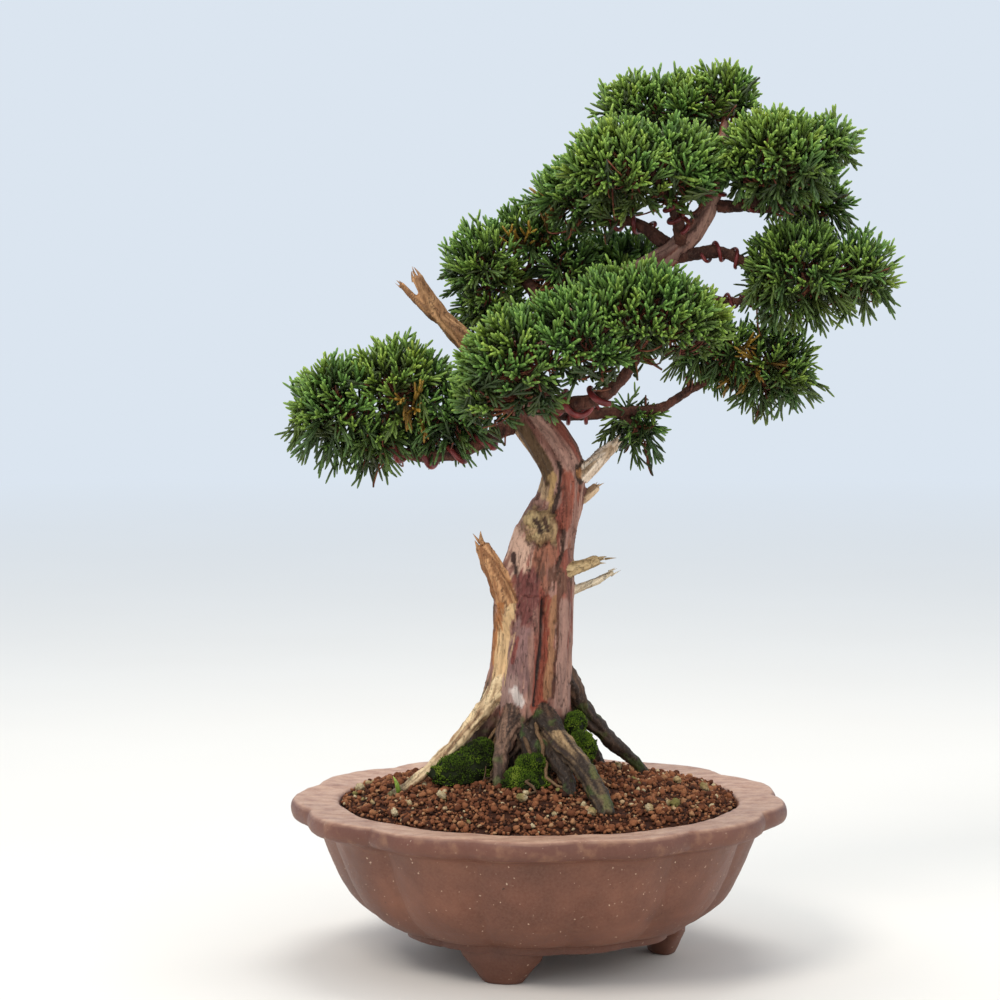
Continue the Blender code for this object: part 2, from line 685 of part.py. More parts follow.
def main():
    clear_scene()
    parts = collection("juniper_bonsai")
    helpers = collection("helpers", hidden=True)

    dress(build_pot(parts, helpers), "clay", 35)
    for number, angle in enumerate(DRAIN_ANGLES_DEG, 1):
        dress(build_screen(number, angle, parts), "screen")

    trunk = wood("trunk", parts)
    dress(trunk, "bark", 50)
    round_trunk = wood("round_trunk", helpers, grow=GAP)
    limb_cutters = []
    for name, lines in LIMBS.items():
        dress(cut(limb(name, lines, parts), [round_trunk]), "twig_bark", 50)
        limb_cutters.append(limb("round_" + name, lines, helpers, grow=GAP))

    soil = cut(turned_soil("soil", parts), [round_trunk])
    dress(soil, "soil")
    for name in WIRES:
        dress(build_wire(name, parts), "wire", 60)
    pad_cutters = [round_trunk, *limb_cutters, *(sleeve(name, helpers) for name in WIRES)]
    for name, lobes in FOLIAGE.items():
        dress(cut(dome(name, lobes, parts), pad_cutters), "foliage", 60)
        pad_cutters.append(dome("round_" + name, lobes, helpers, grow=GAP))

    raised_soil = turned_soil("raised_soil", helpers, grow=FINE_GAP)
    for name in MOSS:
        dress(build_moss(name, parts, [round_trunk, raised_soil]), "moss", 60)
    for number, place in enumerate(PEBBLES, 1):
        dress(build_pebble(number, place, parts), "pumice")

    for obj in list(helpers.objects):
        bpy.data.objects.remove(obj, do_unlink=True)
    rest_on_origin(parts)


main()
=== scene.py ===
"""The looks of the potted juniper bonsai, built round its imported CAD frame.

Every piece is worked out from the frame's nodes, in millimetres about the pot's axis at the table,
and becomes metres in the row frame when its mesh is made.
"""

import functools
import math

import bmesh
import bpy
import numpy as np
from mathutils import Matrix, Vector


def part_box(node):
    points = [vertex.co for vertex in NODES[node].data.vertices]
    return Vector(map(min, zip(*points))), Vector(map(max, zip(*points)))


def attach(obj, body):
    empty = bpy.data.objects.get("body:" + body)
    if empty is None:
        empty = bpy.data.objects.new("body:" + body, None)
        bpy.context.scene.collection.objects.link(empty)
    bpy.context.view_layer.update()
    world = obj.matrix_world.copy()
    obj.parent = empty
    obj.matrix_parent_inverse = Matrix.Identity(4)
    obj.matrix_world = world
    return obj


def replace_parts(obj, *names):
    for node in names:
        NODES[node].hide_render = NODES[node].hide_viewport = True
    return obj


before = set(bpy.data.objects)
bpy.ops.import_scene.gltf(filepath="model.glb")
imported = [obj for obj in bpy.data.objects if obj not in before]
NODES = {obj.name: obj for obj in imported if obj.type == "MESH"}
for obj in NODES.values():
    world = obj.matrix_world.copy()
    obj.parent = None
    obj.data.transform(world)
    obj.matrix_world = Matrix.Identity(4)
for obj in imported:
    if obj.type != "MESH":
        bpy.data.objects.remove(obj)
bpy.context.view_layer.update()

MM = 0.001
soil_low, soil_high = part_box("soil")
AXIS = np.array([(soil_low.x + soil_high.x) / 2, (soil_low.y + soil_high.y) / 2, 0.0])
UP = np.array([0.0, 0.0, 1.0])
RANDOM = np.random.default_rng(20)

# Wood: the CAD's lines, as x, y, z and radius, which give the grain its direction.
TRUNK = (
    (-4, 4, 81, 24),
    (-5, 2, 101, 25),
    (-6, 1, 121, 22.5),
    (-5, 2, 143, 19.5),
    (-3, 3, 167, 18.5),
    (0, 3, 193, 17.5),
    (2.5, 2, 219, 17.5),
    (5, 0, 243, 16),
    (12, 0, 261, 14),
    (14, 0, 278, 13.2),
    (4, 0, 297, 12.8),
    (-9, 2, 314, 12),
    (-19, 6, 331, 11),
    (-12, 11, 349, 10),
    (12, 14, 366, 9),
    (46, 12, 384, 7.6),
    (76, 6, 402, 6.6),
    (94, 1, 424, 5.4),
    (101, 5, 449, 4.2),
    (105, 14, 475, 2.8),
    (106, 20, 493, 1.8),
)
ROOTS = (
    ((-12, -5, 169, 8), (-27, -9, 150, 5.5), (-37, -12, 137, 4.6), (-49, -15, 123, 4.2),
     (-62, -18, 111, 3.6), (-74, -20, 102, 3.2), (-84, -22, 96, 2.6)),
    ((-12, -12, 147, 8), (-18, -22, 135, 6), (-21, -30, 123, 5), (-22, -36, 111, 4.8),
     (-23, -42, 98, 4.6)),
    ((-4, -10, 137, 12), (-5, -19, 125, 9), (-4, -26, 113, 7), (-2, -32, 98, 5.5)),
    ((0, -8, 145, 9), (5, -20, 138, 7.5), (12, -34, 130, 6.5), (22, -50, 121, 6), (30, -66, 110, 5.4),
     (37, -82, 96, 4.4)),
    ((6, -22, 128, 7), (10, -36, 120, 5.5), (16, -47, 110, 4.5), (17, -57, 96, 3.6)),
    ((10, 0, 167, 9), (19, 6, 152, 7), (24, 12, 142, 5.5), (34, 15, 131, 5), (45, 18, 119, 4.5),
     (57, 22, 108, 4), (66, 24, 97, 3)),
    ((-10, 10, 143, 11), (-24, 24, 131, 8), (-38, 38, 117, 6.5), (-52, 52, 103, 5), (-60, 60, 94, 4)),
    ((8, 10, 141, 11), (18, 26, 129, 8), (28, 44, 114, 6), (36, 60, 100, 5), (40, 68, 93, 4)),
)
RIBS = (
    ((4, 0, 260, 8), (-4, -2, 243, 10), (-9, -4, 228, 10), (-14, -4, 214, 10.5), (-15, -3, 201, 10.5),
     (-16, -2, 187, 9.5), (-19, -3, 165, 9), (-25, -3, 147, 8.5), (-31, -3, 133, 7.5),
     (-36, -2, 117, 6.5), (-40, 2, 99, 5)),
    ((-4, -7, 209, 11), (-7, -8, 177, 13), (-9, -8, 152, 13.5), (-8, -9, 129, 13), (-7, -11, 109, 12)),
    ((9, -4, 233, 10), (9, -6, 209, 10.5), (7.5, -6, 182, 11), (6, -6, 157, 11), (6, -5, 137, 11.5),
     (8, -4, 115, 12)),
    ((2, 2, 249, 12), (0, -8, 248, 9.5), (0, -12, 247, 7)),
)
STUBS = (
    ((-16, 5, 325, 9), (-30, 4, 339, 7), (-43, 4, 353, 6), (-55, 4, 365, 5), (-63, 4, 377, 4),
     (-69, 4, 388, 3.4)),
    ((-50, 4, 360, 4), (-62, 3, 368, 3), (-70, 2, 376, 2.4), (-78, 2, 384, 2)),
    ((-10, -8, 180, 7), (-17, -12, 200, 7), (-22, -13, 216, 6.5), (-28, -13, 229, 5.6),
     (-32, -13, 238, 4.4)),
    ((14, -2, 269, 7), (25, -3, 278, 5.5), (33, -3, 285, 4.8), (42, -3, 294, 3.6)),
    ((16, 2, 259, 4), (26, 0, 264, 3.4), (33, -1, 270, 2.6)),
    ((6, -6, 222, 6), (16, -8, 223, 5), (26, -8, 226, 4.2), (34, -8, 229, 3.4)),
    ((8, 2, 207, 5), (21, -1, 211.5, 3.2), (33, -2, 217, 2.4), (42, -2, 222, 1.8)),
)


# ---- numbers


def hashed(cells, seed):
    """Numbers from 0 to 1 that look random, one for each row of whole numbers."""
    mix = np.array([374761393, 668265263, 1274126177], np.uint32)
    h = (cells.astype(np.int64).astype(np.uint32) * mix).sum(-1, dtype=np.uint32)
    h += np.uint32(seed * 974711 + 11)
    h = (h ^ (h >> np.uint32(13))) * np.uint32(1274126177)
    return (h ^ (h >> np.uint32(16))) / 2.0**32


def noise(points, size, seed=0):
    """Smooth noise from -1 to 1, with features about size apart. size may differ by direction."""
    p = np.asarray(points, float) / size
    cell = np.floor(p)
    t = p - cell
    t = t * t * (3 - 2 * t)
    total = 0.0
    for corner in range(8):
        step = np.array([corner & 1, corner >> 1 & 1, corner >> 2])
        total = total + np.prod(np.where(step, t, 1 - t), axis=-1) * hashed(cell + step, seed)
    return total * 2 - 1


def fractal(points, size, octaves, seed=0):
    size = np.asarray(size, float)
    return sum(noise(points, size / 2**k, seed + 7 * k) / 2**k for k in range(octaves))


def unit(v):
    return v / np.maximum(np.linalg.norm(v, axis=-1, keepdims=True), 1e-9)


def smoothstep(low, high, x):
    t = np.clip((x - low) / (high - low), 0, 1)
    return t * t * (3 - 2 * t)


def round_angles(sides):
    return np.arange(sides) * 2 * math.pi / sides


def along(knots, step):
    """Rows about a step apart on a Catmull-Rom curve through rows of knots."""
    ends = np.vstack([knots[:1], knots, knots[-1:]])
    made = []
    for i in range(len(knots) - 1):
        a, b, c, d = ends[i:i + 4]
        count = max(1, round(np.linalg.norm((c - b)[:3]) / step))
        t = np.arange(count)[:, None] / count
        made.append(0.5 * (
            2 * b + (c - a) * t + (2 * a - 5 * b + 4 * c - d) * t**2 + (3 * b - 3 * c + d - a) * t**3
        ))
    return np.vstack([*made, knots[-1:]])


# ---- meshes


def placed(name, data):
    """An object in the scene that holds data."""
    made = bpy.data.objects.new(name, data)
    bpy.context.scene.collection.objects.link(made)
    return made


def piece(name, points, faces, smooth=True):
    """An object from points and arrays of three- and four-cornered faces. It rides on the root."""
    mesh = bpy.data.meshes.new(name)
    mesh.vertices.add(len(points))
    mesh.vertices.foreach_set("co", (np.asarray(points) * MM + AXIS).astype(np.float32).ravel())
    corners = np.concatenate([f.ravel() for f in faces]).astype(np.int32)
    sizes = np.concatenate([np.full(len(f), f.shape[1]) for f in faces])
    mesh.loops.add(len(corners))
    mesh.loops.foreach_set("vertex_index", corners)
    mesh.polygons.add(len(sizes))
    starts = np.concatenate([[0], np.cumsum(sizes)[:-1]]).astype(np.int32)
    mesh.polygons.foreach_set("loop_start", starts)
    mesh.update(calc_edges=True)
    if smooth:
        mesh.shade_smooth()
    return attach(placed(name, mesh), "root")


def bake_map(obj, places):
    """Gives each point the two numbers that its material reads."""
    mesh = obj.data
    corners = np.empty(len(mesh.loops), np.int32)
    mesh.loops.foreach_get("vertex_index", corners)
    layer = mesh.uv_layers.new(name="OFBake")
    layer.data.foreach_set("uv", np.clip(places, 0.01, 0.99)[corners].astype(np.float32).ravel())


def bands(first, sides):
    """Four-cornered faces between rings of points. Each band starts at a point number in first."""
    here, following = np.arange(sides), np.roll(np.arange(sides), -1)
    quads = [first + following, first + here, first + here + sides, first + following + sides]
    return np.stack(quads, -1).reshape(-1, 4)


def tubes(paths, radii, sides):
    """Points and faces of closed tubes through paths, an array of N paths of R places."""
    count, rings = radii.shape
    ahead = unit(np.gradient(paths, axis=1))
    level = np.broadcast_to(np.where(np.abs(ahead[:, :1, 2:]) > 0.9, [1.0, 0, 0], UP), ahead.shape)
    side = unit(np.cross(ahead, level))
    other = np.cross(ahead, side)
    turn = round_angles(sides)
    ring = side[:, :, None] * np.cos(turn)[:, None] + other[:, :, None] * np.sin(turn)[:, None]
    points = paths[:, :, None] + ring * radii[:, :, None, None]
    first = np.arange(count)[:, None, None] * rings * sides
    low = first + np.arange(rings - 1)[:, None] * sides
    fan = np.array([(0, i, i + 1) for i in range(1, sides - 1)])
    caps = [first + fan, first + (rings - 1) * sides + fan[:, ::-1]]
    return points.reshape(-1, 3), [bands(low, sides), np.concatenate(caps).reshape(-1, 3)]


def joined(parts):
    """One set of points and faces from several."""
    points, quads, tris, base = [], [], [], 0
    for some, faces in parts:
        for block in faces:
            (quads if block.shape[1] == 4 else tris).append(block + base)
        points.append(some)
        base += len(some)
    return np.vstack(points), [np.vstack(kind) for kind in (quads, tris) if kind]


def in_mm(places):
    return np.array(places) / MM - AXIS / MM


def nodes_called(start):
    return sorted(n for n in NODES if n.startswith(start))


def mm_points(mesh):
    points = np.empty(len(mesh.vertices) * 3, np.float32)
    mesh.vertices.foreach_get("co", points)
    return (points.reshape(-1, 3).astype(float) - AXIS) / MM


def set_mm_points(mesh, points):
    mesh.vertices.foreach_set("co", (points * MM + AXIS).astype(np.float32).ravel())
    mesh.update()


def normals(mesh):
    mesh.update()
    made = np.empty(len(mesh.vertices) * 3, np.float32)
    mesh.vertex_normals.foreach_get("vector", made)
    return made.reshape(-1, 3).astype(float)


def apply_modifiers(obj):
    bpy.context.view_layer.update()
    evaluated = obj.evaluated_get(bpy.context.evaluated_depsgraph_get())
    obj.data = bpy.data.meshes.new_from_object(evaluated)
    obj.modifiers.clear()


def skin(name, node, voxel, rounds):
    """A fine, evened copy of a CAD node, which it replaces."""
    made = placed(name, NODES[node].data.copy())
    fine = made.modifiers.new("fine", "REMESH")
    fine.mode = "VOXEL"
    fine.voxel_size = voxel * MM
    even = made.modifiers.new("even", "SMOOTH")
    even.factor = 0.5
    even.iterations = rounds
    apply_modifiers(made)
    made.data.materials.clear()
    made.data.shade_smooth()
    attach(made, "root")
    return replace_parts(made, node)


# ---- materials


class Shader:
    """A material's nodes, added one by one and joined by their sockets' names."""

    def __init__(self, name, roughness, specular=0.3, metallic=0.0):
        self.material = bpy.data.materials.new(name)
        self.material.use_nodes = True
        self.tree = self.material.node_tree
        self.surface = self.tree.nodes["Principled BSDF"]
        self.surface.inputs["Roughness"].default_value = roughness
        self.surface.inputs["Specular IOR Level"].default_value = specular
        self.surface.inputs["Metallic"].default_value = metallic

    def add(self, kind, inputs=(), **settings):
        node = self.tree.nodes.new("ShaderNode" + kind)
        for key, value in settings.items():
            setattr(node, key, value)
        for key, value in dict(inputs).items():
            if isinstance(value, bpy.types.NodeSocket):
                self.tree.links.new(value, node.inputs[key])
            else:
                node.inputs[key].default_value = value
        return node

    def place(self):
        return self.add("NewGeometry").outputs["Position"]

    def noise(self, size_mm, detail=3.0, stretch=None, roughness=0.55, place=None):
        place = place or self.place()
        if stretch:
            place = self.add("Mapping", {"Vector": place, "Scale": stretch}).outputs[0]
        made = self.add("TexNoise", {
            "Vector": place, "Scale": 1 / (size_mm * MM), "Detail": detail, "Roughness": roughness,
        })
        return made.outputs["Fac"]

    def ramp(self, factor, stops):
        """Colours from 0 to 255, each after its place from 0 to 1."""
        made = self.add("ValToRGB", {"Fac": factor})
        points = made.color_ramp.elements
        while len(points) < len(stops):
            points.new(0.5)
        for point, (where, colour) in zip(points, stops):
            point.position = where
            point.color = (*srgb(*colour), 1.0)
        return made.outputs["Color"]

    def mix(self, factor, a, b, how="MIX"):
        made = self.add("Mix", data_type="RGBA", blend_type=how)
        for index, value in ((0, factor), (6, a), (7, b)):
            if isinstance(value, bpy.types.NodeSocket):
                self.tree.links.new(value, made.inputs[index])
            elif index:
                made.inputs[index].default_value = (*srgb(*value), 1.0)
            else:
                made.inputs[index].default_value = value
        return made.outputs[2]

    def spread(self, value, low, high, to_low=0.0, to_high=1.0):
        return self.add("MapRange", {
            "Value": value, "From Min": low, "From Max": high, "To Min": to_low, "To Max": to_high,
        }).outputs["Result"]

    def map_places(self):
        """The two numbers that bake_map gave each point."""
        place = self.add("UVMap", uv_map="OFBake").outputs[0]
        parts = self.add("SeparateXYZ", {0: place}).outputs
        return parts["X"], parts["Y"]

    def calculate(self, operation, *values):
        return self.add("Math", dict(enumerate(values)), operation=operation).outputs[0]

    def attribute(self, name, output="Fac"):
        return self.add("Attribute", attribute_name=name).outputs[output]

    def colour(self, socket):
        self.tree.links.new(socket, self.surface.inputs["Base Color"])

    def bump(self, height, distance_mm, strength=1.0):
        made = self.add("Bump", {"Height": height, "Distance": distance_mm * MM, "Strength": strength})
        self.tree.links.new(made.outputs["Normal"], self.surface.inputs["Normal"])

    def rough(self, socket):
        self.tree.links.new(socket, self.surface.inputs["Roughness"])


def srgb(red, green, blue):
    """A linear colour from one of 0 to 255 as a screen shows it."""
    shares = [c / 255 for c in (red, green, blue)]
    return tuple(c / 12.92 if c <= 0.04045 else ((c + 0.055) / 1.055) ** 2.4 for c in shares)


def finish(obj, material):
    obj.data.materials.clear()
    obj.data.materials.append(material)
    return obj


# ---- pot

LOBE_WIDTHS_DEG = (31, 26, 31, 27, 27, 27, 29, 35, 32, 31, 32, 32)
FIRST_NOTCH_DEG = 35.0
FEET = ((-108.0, 67.0), (12.0, 73.0), (132.0, 67.0))
DRAIN_ANGLES_DEG = (-48.0, 72.0, 192.0)
POT_PROFILE = np.array([  # radius, height and lobe depth, as in the CAD
    (79.0, 18.0, 2.5), (80.6, 18.6, 2.8), (81.0, 22.5, 3.0), (81.8, 23.2, 3.2), (90.0, 25.0, 3.5),
    (101.5, 33.0, 4.0), (108.0, 40.0, 4.2), (113.0, 48.0, 4.4), (118.0, 58.8, 4.6), (122.0, 69.3, 4.8),
    (124.8, 76.4, 5.0), (127.6, 78.6, 5.2), (135.5, 81.0, 5.7), (139.4, 82.8, 6.0), (140.8, 85.6, 6.0),
    (140.6, 89.4, 6.0), (139.3, 91.8, 6.0), (137.0, 92.6, 5.8), (126.0, 92.1, 3.6), (117.0, 91.9, 1.7),
    (114.2, 91.2, 1.3), (112.7, 88.6, 1.0), (111.5, 77.5, 0.5), (107.0, 56.0, 0.0), (97.0, 39.0, 0.0),
    (68.0, 26.0, 0.0), (30.0, 26.0, 0.0), (4.0, 26.0, 0.0),
])
POINTS_PER_LOBE = 30


def lobe_directions():
    """Angle and how far towards a notch, from 0 to 1, for each point round the pot."""
    angles, notches, at = [], [], FIRST_NOTCH_DEG
    for width in LOBE_WIDTHS_DEG:
        across = np.arange(POINTS_PER_LOBE) / POINTS_PER_LOBE
        angles.append(np.radians(at - width * across))
        middle = np.abs(2 * across - 1)
        notches.append(np.sqrt(middle**4 + 0.0004) - 0.02 * (1 - middle))
        at -= width
    return np.concatenate(angles), np.concatenate(notches)


def build_pot():
    angle, notch = lobe_directions()
    profile = along(POT_PROFILE, 1.6)
    radius = profile[:, :1] - profile[:, 2:] * notch
    wall = np.stack([
        radius * np.cos(angle), radius * np.sin(angle), np.broadcast_to(profile[:, 1:2], radius.shape)
    ], -1)
    rings, count = radius.shape
    points = wall.reshape(-1, 3)
    base = (np.arange(rings - 1) * count)[:, None]
    made = piece("pot_clay", points, [bands(base, count)])
    work = bmesh.new()
    work.from_mesh(made.data)
    bmesh.ops.holes_fill(work, edges=[e for e in work.edges if e.is_boundary], sides=0)
    bmesh.ops.recalc_face_normals(work, faces=work.faces)
    work.to_mesh(made.data)
    work.free()
    helpers = [foot(*place) for place in FEET] + [drain(angle) for angle in DRAIN_ANGLES_DEG]
    for index, helper in enumerate(helpers):
        step = made.modifiers.new("step", "BOOLEAN")
        step.object = helper
        step.operation = "UNION" if index < len(FEET) else "DIFFERENCE"
        step.solver = "EXACT"
    apply_modifiers(made)
    for helper in helpers:
        bpy.data.objects.remove(helper, do_unlink=True)
    roughen_pot(made.data)
    made.data.shade_smooth()
    made.data.set_sharp_from_angle(angle=math.radians(50))
    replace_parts(made, "pot")
    finish(made, clay())


def roughen_pot(mesh):
    """Hand-worked clay: low waves, and small dents along the rim."""
    points = mm_points(mesh)
    out = normals(mesh)
    waves = 0.45 * fractal(points, 20, 3, 3) + 0.14 * fractal(points, 4, 2, 5)
    waves *= smoothstep(6, 16, points[:, 2])
    set_mm_points(mesh, points + out * waves[:, None])


def foot(degrees, radius):
    """A foot with rounded cheeks, wide where it meets the base."""
    heights = np.array([0.0, 0.8, 4, 9, 14, 19, 21.5])
    across = np.array([10.0, 11.2, 13.6, 17.5, 22.0, 24.0, 24.0])
    along_radius = np.array([6.2, 7.3, 8.4, 9.4, 10.2, 10.4, 10.4])
    middle = radius + np.array([-0.5, -0.5, -0.2, 0.3, 1.2, 1.0, 0.0])
    turn = np.arange(48) * math.pi / 24
    x = middle[:, None] + along_radius[:, None] * np.cos(turn)
    wide = np.sign(np.sin(turn)) * np.abs(np.sin(turn)) ** 0.75
    y = across[:, None] * wide * (1 + 0.05 * np.cos(4 * turn))
    points = np.stack([x, y, np.broadcast_to(heights[:, None], x.shape)], -1).reshape(-1, 3)
    a = math.radians(degrees)
    points[:, :2] = points[:, :2] @ np.array([(math.cos(a), math.sin(a)), (-math.sin(a), math.cos(a))])
    return closed_stack("foot", points, len(heights), len(turn))


def drain(degrees):
    turn = np.arange(24) * math.pi / 12
    a = math.radians(degrees)
    middle = 42.0 * np.array([math.cos(a), math.sin(a)])
    ring = middle + 7.5 * np.stack([np.cos(turn), np.sin(turn)], -1)
    points = np.vstack([np.column_stack([ring, np.full(24, z)]) for z in (8.0, 34.0)])
    return closed_stack("drain", points, 2, 24)


def closed_stack(name, points, rings, sides):
    low = (np.arange(rings - 1) * sides)[:, None]
    here, following = np.arange(sides), np.roll(np.arange(sides), -1)
    walls = np.stack([low + here, low + following, low + following + sides, low + here + sides], -1)
    fan = np.array([(0, i + 1, i) for i in range(1, sides - 1)])
    return piece(name, points, [walls.reshape(-1, 4), fan, fan[:, ::-1] + (rings - 1) * sides])


def clay():
    """Unglazed brown stoneware with pale specks, dusty and scratched on top of the rim, and darker low
    down with painted shade.
    """
    made = Shader("clay", 0.5, specular=0.5)
    broad = made.noise(34, 4)
    body = made.ramp(broad, [
        (0.3, (93, 51, 34)), (0.5, (109, 62, 43)), (0.7, (128, 78, 56)),
    ])
    fine = made.noise(1.6, 4, roughness=0.7)
    body = made.mix(made.spread(fine, 0.35, 0.75, 0.0, 0.35), body, (152, 112, 92))
    body = made.mix(made.spread(made.noise(2.1, 1), 0.73, 0.78), body, (206, 176, 150))
    body = made.mix(made.spread(made.noise(3.4, 1), 0.24, 0.2, 0.0, 0.7), body, (48, 30, 24))
    height = made.add("SeparateXYZ", {0: made.place()}).outputs["Z"]
    upward = made.add("SeparateXYZ", {0: made.add("NewGeometry").outputs["Normal"]}).outputs["Z"]
    # Painted shade: the clay is darker low down, towards the feet.
    foot_shade = made.spread(height, 0.027, 0.0225, 0.0, 0.25)
    body = made.mix(foot_shade, body, (66, 38, 30))
    blotches = made.spread(made.noise(9, 4), 0.5, 0.8, 0.0, 0.55)
    band = made.calculate("MULTIPLY", made.spread(height, 0.077, 0.081), blotches)
    body = made.mix(made.spread(height, 0.0765, 0.08, 0.0, 0.55), body, (98, 56, 44))
    body = made.mix(band, body, (166, 122, 90))
    on_rim = made.spread(height, 0.0865, 0.0905)
    top = made.calculate("MULTIPLY", made.spread(upward, 0.45, 0.95), on_rim)
    streaks = made.noise(7, 5, stretch=(0.6, 1.0, 1.0), roughness=0.7)
    dust = made.ramp(streaks, [
        (0.3, (146, 102, 82)), (0.45, (176, 134, 110)), (0.6, (194, 154, 128)), (0.75, (208, 174, 146)),
    ])
    body = made.mix(top, body, dust)
    made.colour(body)
    made.rough(made.spread(fine, 0.3, 0.7, 0.4, 0.62))
    made.bump(made.noise(0.9, 5, roughness=0.75), 0.3, 0.6)
    return made.material


# ---- soil, pebbles and moss

MOUND = np.array([
    (112.4, 90.6), (108.5, 91.8), (96.0, 95.5), (80.0, 99.0), (54.0, 104.0), (28.0, 108.0), (0.0, 109.5),
])


def mound(points):
    """Height of the soil's top at places in plan."""
    radius = np.hypot(points[..., 0], points[..., 1])
    return np.interp(radius, MOUND[::-1, 0], MOUND[::-1, 1])


def round_grid(radius, step):
    """Points of a disc in rings, and its faces."""
    rings = int(radius / step)
    points = [(0.0, 0.0)]
    sides = 6 * (rings // 2)
    turn = round_angles(sides)
    for ring in range(1, rings + 1):
        r = radius * ring / rings
        points += list(zip(r * np.cos(turn), r * np.sin(turn)))
    here, following = np.arange(sides), np.roll(np.arange(sides), -1)
    tris = np.stack([np.zeros(sides, int), 1 + here, 1 + following], -1)
    base = (1 + np.arange(rings - 1) * sides)[:, None]
    quads = np.roll(bands(base, sides), -1, axis=1)
    return np.array(points), [quads, tris], sides


def build_soil():
    flat, faces, sides = round_grid(110.3, 1.7)
    top = np.column_stack([flat, mound(flat) - 0.6])
    top[:, 2] += 0.8 * fractal(top, 4.0, 2, 9)
    wall = np.array([(110.2, 77.5), (105.6, 57.0), (95.0, 40.6), (66.0, 28.2)])
    turn = round_angles(sides)
    rings = [np.column_stack([r * np.cos(turn), r * np.sin(turn), np.full(sides, z)]) for r, z in wall]
    edge = len(top) - sides
    points = np.vstack([top, *rings])
    base = (edge + np.arange(len(wall)) * sides)[:, None]
    walls = np.roll(bands(base, sides), -1, axis=1)
    last = edge + len(wall) * sides
    fan = last + np.array([(0, i + 1, i) for i in range(1, sides - 1)])
    faces = [np.vstack([faces[0], walls]), np.vstack([faces[1], fan])]
    bed = piece("soil_bed", points, faces)
    tone = 0.25 + 0.2 * noise(points, 3.0, 4)
    # The bed gets a low second number: it is painted in shade, as under the grains.
    bake_map(bed, np.column_stack([tone, np.full(len(points), 0.2)]))
    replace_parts(bed, "soil")
    finish(bed, soil_material())


def lumps(places, sizes, rounds, seed, squash=0.75):
    """Points and faces of irregular lumps, and how many points each has."""
    work = bmesh.new()
    bmesh.ops.create_icosphere(work, subdivisions=rounds, radius=1)
    shape = np.array([v.co[:] for v in work.verts])
    tris = np.array([[v.index for v in f.verts] for f in work.faces])
    work.free()
    rng = np.random.default_rng(seed)
    count = len(places)
    stretch = rng.uniform(0.7, 1.25, (count, 1, 3)) * np.array([1, 1, squash])
    bumps = 1 + rng.uniform(-0.28, 0.2, (count, len(shape), 1))
    turned = random_turns(count, rng)
    points = np.einsum("nij,nkj->nki", turned, shape * bumps * stretch) * sizes[:, None, None]
    points = points + places[:, None]
    faces = tris[None] + (np.arange(count) * len(shape))[:, None, None]
    return points.reshape(-1, 3), [faces.reshape(-1, 3)], len(shape)


def random_turns(count, rng):
    q = unit(rng.normal(size=(count, 4)))
    w, x, y, z = q.T
    return np.stack([
        np.stack([1 - 2 * (y * y + z * z), 2 * (x * y - z * w), 2 * (x * z + y * w)], -1),
        np.stack([2 * (x * y + z * w), 1 - 2 * (x * x + z * z), 2 * (y * z - x * w)], -1),
        np.stack([2 * (x * z - y * w), 2 * (y * z + x * w), 1 - 2 * (x * x + y * y)], -1),
    ], 1)


def scattered(count, inner, outer, rng):
    """Random places on the mound between two radii."""
    radius = np.sqrt(rng.uniform(inner**2, outer**2, count))
    turn = rng.uniform(0, 2 * math.pi, count)
    flat = np.column_stack([radius * np.cos(turn), radius * np.sin(turn)])
    return np.column_stack([flat, mound(flat)])


# How many grains, the radii they lie between, their least and most half sizes, how far they stand
# up, and how finely each is made.
GRAIN_KINDS = (
    (5200, 8, 111.6, 0.5, 1.1, 0.1, 1),
    (4200, 8, 111.4, 0.9, 1.6, 0.35, 1),
    (620, 14, 110.0, 1.6, 2.3, 0.5, 2),
)


def build_grains():
    """Loose fired-clay grains over the whole bed: crumbs, small ones and then large ones on top."""
    rng = np.random.default_rng(5)
    parts, tones = [], []
    for seed, (count, inner, outer, small, large, lift, rounds) in enumerate(GRAIN_KINDS):
        places = scattered(count, inner, outer, rng)
        places[:, 2] += 1.0 * noise(places, 9.0, 12)
        sizes = rng.uniform(small, large, count)
        places[:, 2] += lift * sizes
        points, faces, size = lumps(places, sizes, rounds, 8 + seed)
        parts.append((points, faces))
        tones.append(np.repeat(np.clip(rng.normal(0.45, 0.24, count), 0, 1), size))
    points, faces = joined(parts)
    # Painted shade: grains are darker the lower they lie among their neighbours, and lighter on top.
    shade = np.clip(0.55 + (points[:, 2] - mound(points) - 0.4) / 3.2, 0, 1)
    grains = piece("soil_grains", points, faces, smooth=False)
    bake_map(grains, np.column_stack([np.concatenate(tones), shade]))
    finish(grains, soil_material())


@functools.cache
def soil_material():
    """Reddish fired clay: the map's first number picks a grain's tone, its second gives painted light on
    its top and painted shade below.
    """
    made = Shader("soil_grain", 0.92, specular=0.2)
    picked, lit = made.map_places()
    tone = made.ramp(picked, [
        (0.0, (54, 32, 22)), (0.25, (98, 56, 36)), (0.5, (138, 84, 54)),
        (0.75, (164, 110, 74)), (0.9, (186, 144, 104)), (1.0, (202, 182, 142)),
    ])
    grit = made.noise(0.8, 3)
    tone = made.mix(made.spread(grit, 0.5, 0.3, 0.0, 0.4), tone, (48, 28, 20))
    light = made.ramp(lit, [(0.0, (110, 100, 95)), (0.8, (255, 255, 255))])
    made.colour(made.mix(1.0, tone, light, "MULTIPLY"))
    made.bump(grit, 0.3, 0.6)
    return made.material


